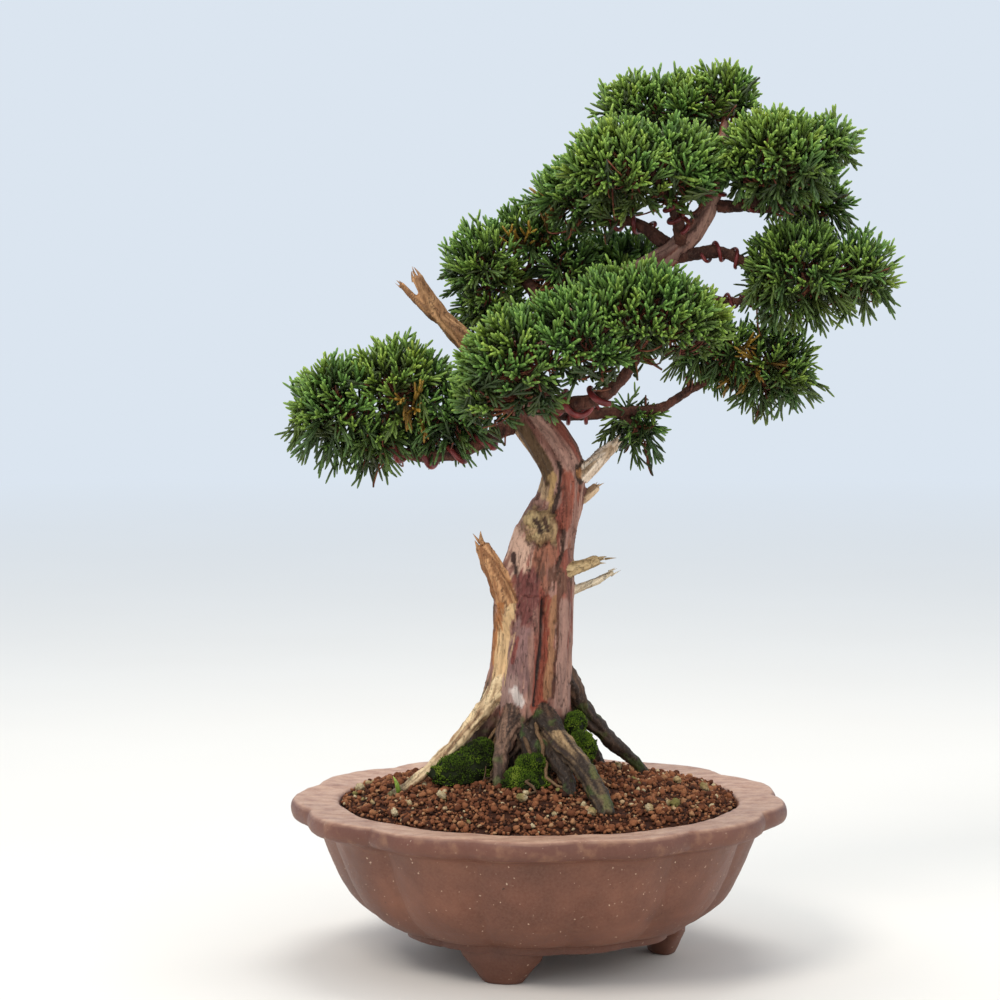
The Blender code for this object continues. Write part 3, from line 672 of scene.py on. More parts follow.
def build_pebbles():
    """Pale pumice and greenish stones: one for each CAD pebble, and smaller ones between."""
    names = sorted(nodes_called("pebble_"), key=len)
    stone = pumice()
    for number, node in enumerate(names):
        low, high = (in_mm(corner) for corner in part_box(node))
        middle = ((low + high) / 2)[None] - 0.4 * UP
        points, faces, _ = lumps(middle, np.array([2.7]), 3, 30 + number, squash=0.85)
        points += 0.25 * unit(points - middle) * fractal(points, 1.6, 2, number)[:, None]
        made = piece(f"stone_{number + 1}", points, faces)
        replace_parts(made, node)
        finish(made, stone)
    rng = np.random.default_rng(12)
    places = scattered(40, 30, 107, rng)
    sizes = rng.uniform(1.0, 2.0, len(places))
    places[:, 2] += 0.9 * sizes
    points, faces, _ = lumps(places, sizes, 2, 14, squash=0.85)
    made = piece("stone_chips", points, faces)
    finish(made, stone)


def pumice():
    made = Shader("pumice", 0.9, specular=0.25)
    tone = made.ramp(made.noise(14, 1), [
        (0.38, (128, 122, 66)), (0.47, (170, 146, 100)), (0.56, (212, 194, 156)), (0.66, (188, 160, 112)),
    ])
    pores = made.noise(0.8, 3)
    made.colour(made.mix(made.spread(pores, 0.42, 0.6, 0.5, 0.0), tone, (104, 84, 58)))
    made.bump(pores, 0.2, 0.7)
    return made.material


def build_moss(node):
    """A lumpy carpet of moss covered in short shoots."""
    cushion = skin(node + "_cushion", node, 0.8, 4)
    points, out = mm_points(cushion.data), normals(cushion.data)
    lumpy = 1.7 * fractal(points, 8.0, 3, 2) + 0.5 * fractal(points, 2.2, 2, 7) - 1.0
    points = points + out * np.clip(lumpy, -3.0, 1.6)[:, None]
    set_mm_points(cushion.data, points)
    bake_map(cushion, np.column_stack([np.full(len(points), 0.2), np.full(len(points), 0.1)]))
    finish(cushion, moss_material())
    out = normals(cushion.data)
    rng = np.random.default_rng(len(points))
    chosen = rng.choice(len(points), min(len(points), 4200), replace=False)
    keep = (out[chosen, 2] > -0.25) & (fractal(points[chosen], 5.0, 2, 5) > -0.5)
    base, way = points[chosen[keep]], out[chosen[keep]]
    way = unit(way + 0.5 * UP + rng.normal(0, 0.45, way.shape))
    long = rng.uniform(0.7, 1.7, len(base))
    share = np.array([-0.2, 0.5, 1.0])
    paths = base[:, None] + way[:, None] * (long[:, None] * share)[:, :, None]
    radii = np.array([0.26, 0.3, 0.08]) * rng.uniform(0.8, 1.3, (len(base), 1))
    spikes, faces = tubes(paths, radii, 4)
    made = piece(node + "_shoots", spikes, faces)
    patch = 0.5 + 0.5 * fractal(base, 7.0, 2, 3) + rng.normal(0, 0.12, len(base))
    patch = np.repeat(np.clip(patch, 0, 1), 4 * len(share))
    rise = np.tile(np.repeat(share, 4), len(base)) * 0.8 + 0.2
    bake_map(made, np.column_stack([patch, rise]))
    finish(made, moss_material())


@functools.cache
def moss_material():
    made = Shader("moss_green", 0.85, specular=0.2)
    patch, rise = made.map_places()
    low = made.ramp(patch, [(0.0, (20, 20, 8)), (1.0, (40, 56, 12))])
    high = made.ramp(patch, [
        (0.0, (44, 50, 14)), (0.5, (80, 106, 22)), (0.8, (116, 140, 34)), (1.0, (150, 166, 60)),
    ])
    made.colour(made.mix(made.spread(rise, 0.2, 1.0), low, high))
    return made.material


# ---- wood

def wood_lines():
    """Every line of the trunk, close together, each row with its length so far and its line's number."""
    rows = []
    for number, knots in enumerate((TRUNK, *RIBS, *ROOTS, *STUBS)):
        line = along(np.array(knots, float), 2.0)
        steps = np.linalg.norm(np.diff(line[:, :3], axis=0), axis=1)
        length = np.concatenate([[0], np.cumsum(steps)])
        ahead = unit(np.gradient(line[:, :3], axis=0))
        rows.append(np.column_stack([line, length, ahead, np.full(len(line), number)]))
    return np.vstack(rows)


def grain_at(points):
    """For each point, the line it grows from, and its place along and round that line."""
    rows = wood_lines()
    best = np.full(len(points), 9.0)
    found = np.zeros(len(points), int)
    for start in range(0, len(rows), 40):
        some = rows[start:start + 40]
        far = np.linalg.norm(points[:, None] - some[None, :, :3], axis=2) / some[:, 3]
        nearest = far.argmin(1)
        least = far[np.arange(len(points)), nearest]
        closer = least < best
        best[closer] = least[closer]
        found[closer] = start + nearest[closer]
    row = rows[found]
    away = points - row[:, :3]
    ahead = row[:, 5:8]
    lift = np.einsum("ij,ij->i", away, ahead)
    flat = away - ahead * lift[:, None]
    side = unit(np.cross(ahead, [0, 1, 0]))
    front = np.cross(side, ahead)
    angle = np.arctan2(np.einsum("ij,ij->i", flat, side), np.einsum("ij,ij->i", flat, front))
    return row[:, 8].astype(int), row[:, 4] + lift, angle, row[:, 3]


def tinted(red, green, blue):
    return np.array(srgb(red, green, blue))


def laid_over(colour, weight, tint):
    """Colours with a tint of 0 to 255 over them, by a weight for each."""
    return colour * (1 - weight) + tinted(*tint) * weight


SMOOTH_BAND = ((-10, 188), (-14, 172), (-16, 154))
KNOT_HOLE = ((24, 280), (24, 277))
DEEP_CRACK = ((2, 207), (1, 184), (-1, 161), (-3, 148))
BURL = ((0, 249), (1, 248))
# What shows on the trunk's front: half width, colour, how ragged its edges are, then x and z along
# the middle of the mark.
MARKS = (
    (6.5, (196, 158, 136), 0.8, (-10, 241), (-10, 230), (-8, 216)),
    (6.5, (146, 92, 70), 0.8, (5, 244), (2, 219)),
    (7.4, (112, 60, 54), 0.4, (-7, 217), (-9, 200), (-11, 184)),
    (7.8, (134, 98, 92), 0.4, *SMOOTH_BAND),
    (6.4, (154, 122, 112), 0.4, (-16, 160), (-17, 146), (-16, 136)),
    (4.2, (156, 108, 90), 0.6, (-17, 142), (-15, 127)),
    # Painted highlight on the smooth band:
    (3.4, (212, 196, 186), 0.4, (-14, 156), (-11, 150)),
    (1.0, (128, 60, 52), 0.8, (-12, 186), (-15, 172)),
    (3.4, (138, 64, 44), 0.8, (6, 206), (4, 178), (1, 155), (-1, 148)),
    (2.4, (160, 112, 78), 0.9, (9, 208), (7, 178), (5, 154)),
    (3.4, (158, 120, 106), 0.8, (15, 204), (14, 178), (13, 156), (12, 146)),
    (1.0, (92, 52, 38), 0.8, (11, 212), (10, 180), (8, 152)),
    (4.0, (166, 106, 58), 0.6, (-21, 218), (-22, 204), (-23, 172)),
    (3.2, (216, 178, 130), 0.5, (-17, 216), (-17, 200), (-19, 184), (-22, 167), (-26, 156), (-33, 144)),
    (2.6, (84, 58, 44), 0.6, (-27, 206), (-28, 186), (-32, 162), (-37, 144)),
    (10.6, (76, 52, 36), 0.3, *BURL),
    (9.0, (170, 138, 98), 0.35, *BURL),
    (6.0, (126, 100, 66), 0.6, *BURL),
    (2.2, (174, 148, 104), 1.0, (-4, 253), (0, 246), (4, 250)),
    (1.2, (62, 42, 28), 1.0, (-3, 252), (2, 245)),
    (1.0, (70, 46, 30), 1.0, (3, 253), (5, 246)),
    (2.8, (202, 166, 128), 0.5, (-17, 305), (-9, 290), (-1, 276), (4, 265)),
    # Painted shade: the dark of a hollow groove, beside the pale strip of dead wood.
    (3.4, (92, 66, 38), 0.6, (-13, 309), (-5, 296), (2, 284), (6, 274)),
    (2.3, (190, 150, 98), 0.5, (8, 276), (6, 262)),
    (1.1, (58, 36, 26), 0.6, (11, 284), (11, 268), (8, 257)),
    (3.4, (150, 80, 60), 0.9, (16, 276), (17, 262), (14, 250)),
    (4.6, (150, 118, 104), 0.6, (-17, 254), (-12, 268), (-9, 279)),
    (4.2, (64, 42, 30), 0.4, *KNOT_HOLE),
    (2.2, (176, 120, 72), 0.4, (24, 279), (25, 277)),
    (0.9, (44, 25, 20), 0.4, *DEEP_CRACK),
    (1.2, (60, 36, 28), 0.8, (-14, 232), (-13, 222)),
    (1.2, (70, 42, 30), 0.8, (13, 246), (12, 232), (9, 222)),
    (5.0, (104, 66, 50), 0.9, (6, 222), (12, 216)),
)
# The lines' numbers: the trunk's own, then its ribs, roots and stubs.
MAIN_LINE, FIRST_RIB = 0, 1
FIRST_ROOT = FIRST_RIB + len(RIBS)
BARE_ROOT, NEAR_ROOT, MIDDLE_ROOT, FRONT_ROOT = range(FIRST_ROOT, FIRST_ROOT + 4)
FIRST_STUB = FIRST_ROOT + len(ROOTS)
TALL_STUB = FIRST_STUB + 2
# Dark and pale wood for each root and then each stub.
LINE_TINTS = dict(enumerate((
    ((176, 136, 98), (226, 198, 154)),
    ((62, 42, 32), (130, 98, 78)),
    ((38, 26, 18), (84, 60, 44)),
    ((58, 40, 28), (162, 132, 94)),
    ((44, 32, 22), (88, 64, 46)),
    ((58, 42, 32), (112, 82, 62)),
    ((70, 50, 38), (126, 96, 74)),
    ((70, 50, 38), (126, 96, 74)),
    ((134, 92, 56), (188, 142, 98)),
    ((134, 92, 56), (178, 130, 86)),
    ((146, 96, 58), (196, 146, 100)),
    ((196, 164, 130), (236, 214, 190)),
    ((176, 142, 108), (222, 190, 152)),
    ((150, 122, 82), (196, 168, 124)),
    ((196, 174, 140), (232, 214, 184)),
), FIRST_ROOT))


def from_mark(points, marks):
    """Distance in x and z from the polyline of each point."""
    least = np.full(len(points), 1e9)
    for (ax, az), (bx, bz) in zip(marks, marks[1:]):
        a, d = np.array([ax, az]), np.array([bx - ax, bz - az])
        t = np.clip(((points[:, (0, 2)] - a) @ d) / (d @ d), 0, 1)
        least = np.minimum(least, np.linalg.norm(points[:, (0, 2)] - a - t[:, None] * d, axis=1))
    return least


def painted(points, out, line, rise, angle, radius):
    """The trunk's colours: streaked bark, then marks on its front, bare stubs and dark earth below."""
    strip = np.column_stack([angle * radius, rise, line * 40.0])
    barked = points[:, 2] < 206 + 3 * noise(points, 3.0, 97)
    line = np.where((line == TALL_STUB) & barked, FIRST_RIB, line)
    high = points[:, 2] > 136 + 4 * noise(points, 4.0, 98)
    line = np.where((line == FRONT_ROOT) & high, MIDDLE_ROOT, line)
    streak = fractal(strip, (5.0, 46.0, 1.0), 3, 51)
    fibre = fractal(strip, (1.5, 20.0, 1.0), 2, 61)
    share = np.clip(0.5 + 0.55 * streak, 0, 1)[:, None]
    colour = laid_over(tinted(116, 70, 58), share, (186, 142, 124))
    red = smoothstep(0.25, 0.7, fractal(strip, (7.0, 60.0, 1.0), 2, 71))[:, None]
    colour = laid_over(colour, red, (140, 72, 56))
    facing = smoothstep(0.5, -0.1, out[:, 1])
    ragged = fractal(strip, (2.2, 16.0, 1.0), 3, 81)
    for width, tint, rough, *places in MARKS:
        near = from_mark(points, places) / width + rough * ragged
        weight = (smoothstep(1.15, 0.75, near) * facing * (line < FIRST_ROOT))[:, None]
        colour = laid_over(colour, weight, tint)
    rough_wood = fractal(points, 4.0, 3, 99)
    share = np.clip(0.5 + 0.9 * fibre + 0.5 * streak + 0.35 * rough_wood, 0, 1)[:, None]
    for number, (dark, pale) in LINE_TINTS.items():
        weight = ((line == number) * 1.0)[:, None]
        colour = colour * (1 - weight) + laid_over(tinted(*dark), share, pale) * weight
    ground = points[:, 2] - 140 + 9 * fractal(points, 9.0, 3, 91)
    ground = ground - 26 * smoothstep(10, 60, np.abs(points[:, 0] + 4))
    bare = (line == BARE_ROOT) * 60.0 + np.isin(line, (NEAR_ROOT, FRONT_ROOT)) * 16.0
    bare = bare + (np.abs(points[:, 0] + 15) < 5) * 11.0
    darkest = 0.75 + 0.25 * np.isin(line, (MAIN_LINE, MIDDLE_ROOT))
    earth = smoothstep(4, -6, ground + bare)[:, None] * darkest[:, None]
    green = smoothstep(0.1, 0.5, fractal(points, 6.0, 2, 95))[:, None]
    soil = laid_over(tinted(46, 34, 24), green, (58, 76, 24))
    colour = colour * (1 - earth) + soil * earth
    return colour * (1 + 0.22 * fibre[:, None]), strip


def colour_layer(mesh, name, colours):
    layer = mesh.color_attributes.new(name, "FLOAT_COLOR", "POINT")
    rows = np.column_stack([np.clip(colours, 0, 1), np.ones(len(colours))])
    layer.data.foreach_set("color", rows.astype(np.float32).ravel())


def relief(points, out, line, strip, radius):
    """How far the trunk's surface is pushed out, and the painted shade that darkens its grooves."""
    ribs = fractal(strip, (8.0, 80.0, 1.0), 2, 21)
    fibres = fractal(strip, (2.0, 26.0, 1.0), 3, 31)
    groove = 1 - np.abs(fractal(strip, (6.0, 55.0, 1.0), 2, 41))
    groove = smoothstep(0.92, 1.0, groove)
    front = smoothstep(0.4, 0.0, out[:, 1])
    smooth_band = smoothstep(9, 5, from_mark(points, SMOOTH_BAND)) * front
    rough = 1 - 0.85 * smooth_band
    push = (1.1 * ribs + 0.7 * fibres) * rough - 1.1 * groove * rough
    push -= 1.3 * smoothstep(1.6, 0.4, from_mark(points, DEEP_CRACK)) * front
    push -= 2.0 * smoothstep(4.5, 1.5, from_mark(points, KNOT_HOLE)) * front
    burl = from_mark(points, BURL) + 0.9 * fractal(points, 3.5, 2, 49)
    knob = 3.2 * smoothstep(10, 6.5, burl) - 1.9 * smoothstep(6, 2, burl)
    knob -= 1.6 * smoothstep(1.8, 0.3, np.abs(burl - 10.5))
    push += knob * smoothstep(0.2, -0.3, out[:, 1]) * (line < FIRST_ROOT)
    splinter = (line >= FIRST_STUB) * 1.0 * fractal(strip, (1.6, 14.0, 1.0), 2, 45)
    gnarl = 1.1 * fractal(points, 7.0, 3, 46) + 0.7 * fractal(strip, (2.2, 18.0, 1.0), 2, 47)
    splinter += np.isin(line, range(FIRST_ROOT, FIRST_STUB)) * gnarl
    push = push * np.clip(radius / 13, 0.3, 1.0) + splinter * np.clip(radius / 5, 0.5, 1.0)
    # The second is painted shade, darker in the grooves.
    return push, 1 - 0.55 * groove * rough


def build_trunk():
    trunk = skin("trunk_wood", "trunk", 0.95, 8)
    points, out = mm_points(trunk.data), normals(trunk.data)
    line, rise, angle, radius = grain_at(points)
    colours, strip = painted(points, out, line, rise, angle, radius)
    push, shade = relief(points, out, line, strip, radius)
    set_mm_points(trunk.data, points + out * push[:, None])
    colour_layer(trunk.data, "bark_paint", colours * shade[:, None])
    finish(trunk, bark_material("bark", 0.62, 1.1))


def curved(bases, ways, lengths, bends, shares):
    """Paths at shares of their lengths, which bend further from straight as they go."""
    straight = ways[:, None] * shares[:, None]
    return bases[:, None] + lengths[:, None, None] * (straight + bends[:, None] * (shares**2)[:, None])


SPLINTER_SHARES = np.linspace(0, 1, 5)
SPLINTER_WIDTHS = np.array([1.0, 0.85, 0.6, 0.35, 0.08])
SPLINTER_SIDES = 5


def build_splinters():
    """Torn fibres at the ends of the dead stubs."""
    rng = np.random.default_rng(31)
    parts, colours = [], []
    for number, knots in enumerate(STUBS, FIRST_STUB):
        end, before = np.array(knots[-1], float), np.array(knots[-2], float)
        way = unit((end - before)[:3])
        count = 7 if end[3] > 3 else 4
        bases = end[:3] + rng.normal(0, 0.45 * end[3], (count, 3)) - way * 2.5
        ways = unit(way + rng.normal(0, 0.16, (count, 3)))
        long = rng.uniform(3.5, 7.5, count)
        thick = end[3] * rng.uniform(0.18, 0.42, count)
        bends = unit(rng.normal(size=bases.shape)) * 0.12
        paths = curved(bases, ways, long, bends, SPLINTER_SHARES)
        parts.append(tubes(paths, thick[:, None] * SPLINTER_WIDTHS, SPLINTER_SIDES))
        dark, pale = LINE_TINTS[number]
        share = np.repeat(rng.uniform(0.2, 1, count), len(SPLINTER_SHARES) * SPLINTER_SIDES)[:, None]
        colours.append(laid_over(tinted(*dark), share, pale))
    made = piece("splinters", *joined(parts))
    colour_layer(made.data, "bark_paint", np.vstack(colours))
    finish(made, bark_material("splinter", 0.7, 0.8))


def build_rootlets():
    """Thin roots that wander from the trunk's foot over the earth."""
    rng = np.random.default_rng(37)
    count, in_front, steps = 34, 20, 14
    turn = rng.uniform(-math.pi, math.pi, count)
    turn[:in_front] = rng.uniform(-2.9, -0.2, in_front)
    reach = rng.uniform(34, 62, count)
    share = np.linspace(0, 1, steps)
    drift = turn[:, None] + np.cumsum(rng.normal(0, 0.07, (count, steps)), axis=1)
    radius = 15 + (reach[:, None] - 15) * share
    x = -4 + radius * np.cos(drift)
    y = -3 + radius * np.sin(drift)
    ground = mound(np.stack([x, y], -1))
    high = rng.uniform(16, 34, count)[:, None]
    z = ground + high * (1 - share) ** 1.7 + rng.normal(0, 0.5, (count, steps)) - 1.5 * (share > 0.95)
    thick = rng.uniform(0.5, 1.7, count)[:, None] * np.linspace(1.0, 0.45, steps)
    points, faces = tubes(np.stack([x, y, z], -1), thick, 6)
    made = piece("rootlets", points, faces)
    share = np.repeat(np.clip(rng.normal(0.4, 0.3, count), 0, 1), steps * 6)[:, None]
    colour_layer(made.data, "bark_paint", laid_over(tinted(58, 40, 28), share, (170, 132, 92)))
    finish(made, bark_material("rootlet", 0.8, 0.8))
    build_blade(np.array([-79.0, -24.0, 97.0]), np.array([-82.0, -27.0, 109.0]))


def build_blade(base, tip):
    """One green blade beside the left root's end."""
    share = np.linspace(0, 1, 6)[:, None]
    path = base + (tip - base) * share + np.array([4.0, 0, 0]) * share * (1 - share)
    points, faces = tubes(path[None], np.array([[0.7, 1.3, 1.5, 1.3, 0.8, 0.1]]), 6)
    blade = piece("blade", points, faces)
    bake_map(blade, np.column_stack([np.full(len(points), 0.5), np.repeat(np.linspace(0.6, 1.0, 6), 6)]))
    finish(blade, leaf_material())


def bark_material(name, roughness, size):
    """Painted bark with finer flecks and fibres over the paint."""
    made = Shader(name, roughness, specular=0.35)
    paint = made.attribute("bark_paint", "Color")
    fleck = made.noise(size, 5, stretch=(1, 1, 0.35), roughness=0.7)
    paint = made.mix(made.spread(fleck, 0.54, 0.74, 0.0, 0.22), paint, (206, 172, 144))
    paint = made.mix(made.spread(fleck, 0.48, 0.28, 0.0, 0.4), paint, (52, 30, 22))
    flow = made.noise(4.5 * size, 5, stretch=(1, 1, 0.14), roughness=0.6)
    apart = made.calculate("ABSOLUTE", made.calculate("SUBTRACT", flow, 0.5))
    split = made.spread(apart, 0.0, 0.013, 0.6, 0.0)
    made.colour(made.mix(split, paint, (46, 27, 20)))
    made.bump(made.calculate("SUBTRACT", fleck, split), 0.6, 0.8)
    return made.material


def build_limbs():
    material = bark_material("limb_bark", 0.75, 0.9)
    for node in nodes_called("limb_"):
        made = skin(node + "_wood", node, 0.62, 5)
        points, out = mm_points(made.data), normals(made.data)
        push = 0.45 * fractal(points, 3.0, 3, 17) + 0.3 * fractal(points, 8, 2, 18)
        share = np.clip(0.42 + 0.5 * fractal(points, 5.0, 3, 19), 0, 1)[:, None]
        colours = laid_over(tinted(48, 24, 18), share, (116, 68, 52))
        # Painted light: the limbs' upper sides are paler, as lit from above.
        top = smoothstep(0.2, 0.9, out[:, 2])[:, None] * 0.4
        colours = laid_over(colours, top, (138, 94, 74))
        set_mm_points(made.data, points + out * push[:, None])
        colour_layer(made.data, "bark_paint", colours)
        finish(made, material)


def build_wires():
    """Round wire: the CAD's coils, with their corners rounded."""
    red = wire_material()
    for node in nodes_called("wire_"):
        made = placed(node + "_coil", NODES[node].data.copy())
        work = bmesh.new()
        work.from_mesh(made.data)
        bmesh.ops.remove_doubles(work, verts=work.verts, dist=0.02 * MM)
        bmesh.ops.join_triangles(
            work, faces=work.faces, angle_face_threshold=1.2, angle_shape_threshold=1.2,
            cmp_seam=False, cmp_sharp=False, cmp_uvs=False, cmp_vcols=False, cmp_materials=False,
        )
        work.to_mesh(made.data)
        work.free()
        rounding = made.modifiers.new("rounding", "SUBSURF")
        rounding.levels = rounding.render_levels = 2
        apply_modifiers(made)
        points, out = mm_points(made.data), normals(made.data)
        set_mm_points(made.data, points + 0.16 * out)
        made.data.shade_smooth()
        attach(made, "root")
        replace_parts(made, node)
        finish(made, red)


def wire_material():
    """Dark red anodised aluminium, dulled by weather."""
    made = Shader("wire_red", 0.38, metallic=0.2, specular=0.5)
    tone = made.ramp(made.noise(6, 3), [
        (0.35, (92, 30, 30)), (0.55, (128, 48, 46)), (0.75, (156, 76, 72)),
    ])
    made.colour(tone)
    made.bump(made.noise(2.5, 3), 0.1, 0.5)
    return made.material


# ---- foliage

def spaced(node, spacing, deeper, rng):
    """Places and outward directions over a CAD pad, no closer than the spacing for their facing."""
    mesh = NODES[node].data
    mesh.calc_loop_triangles()
    corners = in_mm([[mesh.vertices[v].co[:] for v in t.vertices] for t in mesh.loop_triangles])
    cross = np.cross(corners[:, 1] - corners[:, 0], corners[:, 2] - corners[:, 0])
    area = np.linalg.norm(cross, axis=1)
    chosen = rng.choice(len(area), 6000, p=area / area.sum())
    share = rng.dirichlet((1, 1, 1), len(chosen))
    places = np.einsum("ij,ijk->ik", share, corners[chosen])
    ways = unit(cross)[chosen]
    kept = np.empty((0, 3))
    index = []
    for i, (place, way) in enumerate(zip(places, ways)):
        apart = spacing * (1.0 + deeper * smoothstep(-0.1, -0.8, way[2]))
        if len(kept) and np.min(((kept - place) ** 2).sum(1)) < apart**2:
            continue
        kept = np.vstack([kept, place])
        index.append(i)
    return places[index], ways[index]


# The shoots beside a sprig's stem, and how far along a shoot its rings are and how thick each is.
SIDE_SHOOTS = 7
TIP_SHARES = np.array([0.0, 0.5, 0.88, 1.0])
TIP_WIDTHS = np.array([0.74, 1.0, 0.86, 0.38])


def sprigs(bases, ways, lengths, tones, spread, rng, thickness):
    """Paths, radii and map places of juniper sprigs: a stem with finger shoots all round it."""
    count = len(bases)
    bend = unit(rng.normal(size=(count, 3)))
    bend = 0.2 * (bend - ways * np.einsum("ij,ij->i", bend, ways)[:, None])
    stem = curved(bases, ways, lengths, bend, TIP_SHARES)
    flat = unit(np.cross(ways, unit(rng.normal(size=(count, 3)))))
    over = np.cross(ways, flat)
    paths, radii, marks = [stem], [np.tile(thickness * TIP_WIDTHS, (count, 1))], []
    # Each path's tint, then how light it is at its base and at its tip: darker deeper in the pad, as
    # painted shade.
    marks.append(np.column_stack([tones, np.full(count, 0.1), np.full(count, 1.0)]))
    for j in range(SIDE_SHOOTS):
        t = 0.18 + 0.66 * j / (SIDE_SHOOTS - 1) + rng.uniform(-0.04, 0.04, count)
        start = bases + lengths[:, None] * (ways * t[:, None] + bend * (t**2)[:, None])
        roll = rng.normal(0, 0.4, count) + j * 2.4
        side = flat * np.cos(roll)[:, None] + over * np.sin(roll)[:, None] * spread
        lean = np.radians(rng.uniform(24, 44, count))[:, None]
        way = unit(ways * np.cos(lean) + side * np.sin(lean))
        long = lengths * (0.56 - 0.26 * j / (SIDE_SHOOTS - 1)) * rng.uniform(0.75, 1.25, count)
        paths.append(curved(start, way, long, ways * 0.22, TIP_SHARES))
        radii.append(np.tile(thickness * TIP_WIDTHS, (count, 1)) * rng.uniform(0.88, 1.08, (count, 1)))
        tone = np.clip(tones + rng.normal(0, 0.03, count), 0, 1)
        marks.append(np.column_stack([tone, 0.08 + 0.4 * t, 0.5 + 0.5 * t]))
    return np.concatenate(paths), np.concatenate(radii), np.concatenate(marks)


# Pads whose undersides hang in loose sprays, and how long those are.
DROOPING = {
    "foliage_left": 23, "foliage_hanging": 23, "foliage_right": 22, "foliage_lower_right": 21,
    "foliage_right_back": 18, "foliage_back": 15, "foliage_back_left": 14, "foliage_upper_right": 15,
}
# How much of a pad's underside is left open, so that the twigs and wire show.
USUAL_OPENING = 0.35
OPEN_BELOW = {
    "foliage_front": 0.75, "foliage_upper_front": 0.6, "foliage_upper_right": 0.6, "foliage_left": 0.3,
}
# The spacing of the sprigs and their half thickness, in mm, and the pads of finer, looser sprays.
USUAL_SPRIGS = (5.5, 0.84)
LOOSE = {
    "foliage_hanging": (8.5, 0.68), "foliage_lower_right": (6.6, 0.72), "foliage_right": (6.0, 0.74),
    "foliage_left": (5.9, 0.78), "foliage_right_back": (6.2, 0.74), "foliage_back_left": (6.0, 0.76),
}
# Where shoots have turned bronze: x, y, z and reach.
BRONZE = (
    (10, 20, 415, 15), (-2, 30, 398, 13), (118, 10, 338, 12), (96, 22, 499, 9), (-70, -20, 318, 11),
)


def tint_at(places, rng):
    """0 is blue-green, 0.8 yellow-green, and over 0.85 is bronze."""
    tones = 0.34 + 0.34 * noise(places, 22.0, 6) + rng.normal(0, 0.13, len(places))
    tones = np.clip(tones, 0.02, 0.8)
    for x, y, z, reach in BRONZE:
        near = np.linalg.norm(places - np.array([x, y, z]), axis=1)
        chance = 0.55 * smoothstep(reach * 1.3, reach * 0.4, near)
        turned = rng.uniform(size=len(places)) < chance
        tones = np.where(turned, rng.uniform(0.86, 0.99, len(places)), tones)
    return tones


def outer_sprigs(node, spacing, rng):
    """Where sprigs grow all over a pad: bases, directions, lengths, painted light (darker as shade where
    they face down) and spread.
    """
    outer, outward = spaced(node, spacing, 0.6, rng)
    opening = OPEN_BELOW.get(node, USUAL_OPENING) * smoothstep(-0.2, -0.6, outward[:, 2])
    left_out = rng.uniform(size=len(outer)) < opening
    outer, outward = outer[~left_out], outward[~left_out]
    down = smoothstep(0.0, -0.75, outward[:, 2])
    flat = outward * np.array([1.0, 1.0, 0.1])
    lift = -0.5 if node == "foliage_hanging" else 0.38
    ways = unit(
        outward * (1 - 0.55 * down)[:, None] + flat * down[:, None] * 0.9
        + UP * (lift * (1 - down))[:, None] + rng.normal(0, 0.26, outward.shape)
    )
    lengths = rng.uniform(13, 21, len(outer)) * (1 - 0.1 * down)
    deep = rng.uniform(0.6, 0.8, len(outer)) - 0.16 * noise(outer, 13.0, 14)
    bases = outer - ways * (lengths * deep)[:, None]
    return bases, ways, lengths, 1 - 0.35 * down, 0.8


def inner_sprigs(node, rng):
    """Sprigs inside a pad, darker with painted shade."""
    inner, inward = spaced(node, 8.5, 0.2, rng)
    ways = unit(inward + UP * 0.3 + rng.normal(0, 0.4, inward.shape))
    lengths = rng.uniform(12, 17, len(inner))
    bases = inner - ways * (lengths + 4.0)[:, None]
    return bases, ways, lengths, np.full(len(inner), 0.38), 0.8


def drooping_sprigs(node, rng):
    """Long flat sprays that hang from a pad's underside."""
    low, below = spaced(node, 8.0, 0.0, rng)
    keep = below[:, 2] < -0.15
    low, below = low[keep], below[keep]
    ways = unit(below * np.array([1, 1, 0.3]) - UP * 0.75 + rng.normal(0, 0.3, below.shape))
    lengths = DROOPING[node] * rng.uniform(0.75, 1.2, len(low))
    bases = low - ways * (lengths * 0.45)[:, None]
    # Painted shade: the hanging sprays are darker, as under the pad.
    return bases, ways, lengths, np.full(len(low), 0.62), 0.35


def build_foliage(node, rng):
    """Sprigs all over a pad and, darker with painted shade, inside it. Some pads trail sprays from their
    undersides.
    """
    spacing, thickness = LOOSE.get(node, USUAL_SPRIGS)
    sets = [outer_sprigs(node, spacing, rng), inner_sprigs(node, rng)]
    if node in DROOPING:
        sets.append(drooping_sprigs(node, rng))
    parts = []
    for bases, ways, lengths, light, spread in sets:
        tones = tint_at(bases, rng)
        paths, radii, marks = sprigs(bases, ways, lengths, tones, spread, rng, thickness)
        # Painted shade: each set darkens its sprigs by its light.
        marks[:, 1:] *= np.tile(light, SIDE_SHOOTS + 1)[:, None]
        parts.append((paths, radii, marks))
    paths, radii, marks = (np.concatenate(kind) for kind in zip(*parts))
    points, faces = tubes(paths, radii, 5)
    made = piece(node.replace("foliage", "sprigs"), points, faces)
    rise = marks[:, 1:2] + (marks[:, 2:] - marks[:, 1:2]) * TIP_SHARES
    rise = np.repeat(rise, 5, axis=1)
    tone = np.broadcast_to(marks[:, :1], rise.shape)
    bake_map(made, np.stack([tone, rise], -1).reshape(-1, 2))
    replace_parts(made, node)
    finish(made, leaf_material())
    build_twigs(node, np.concatenate([bases for bases, *_ in sets]), rng)


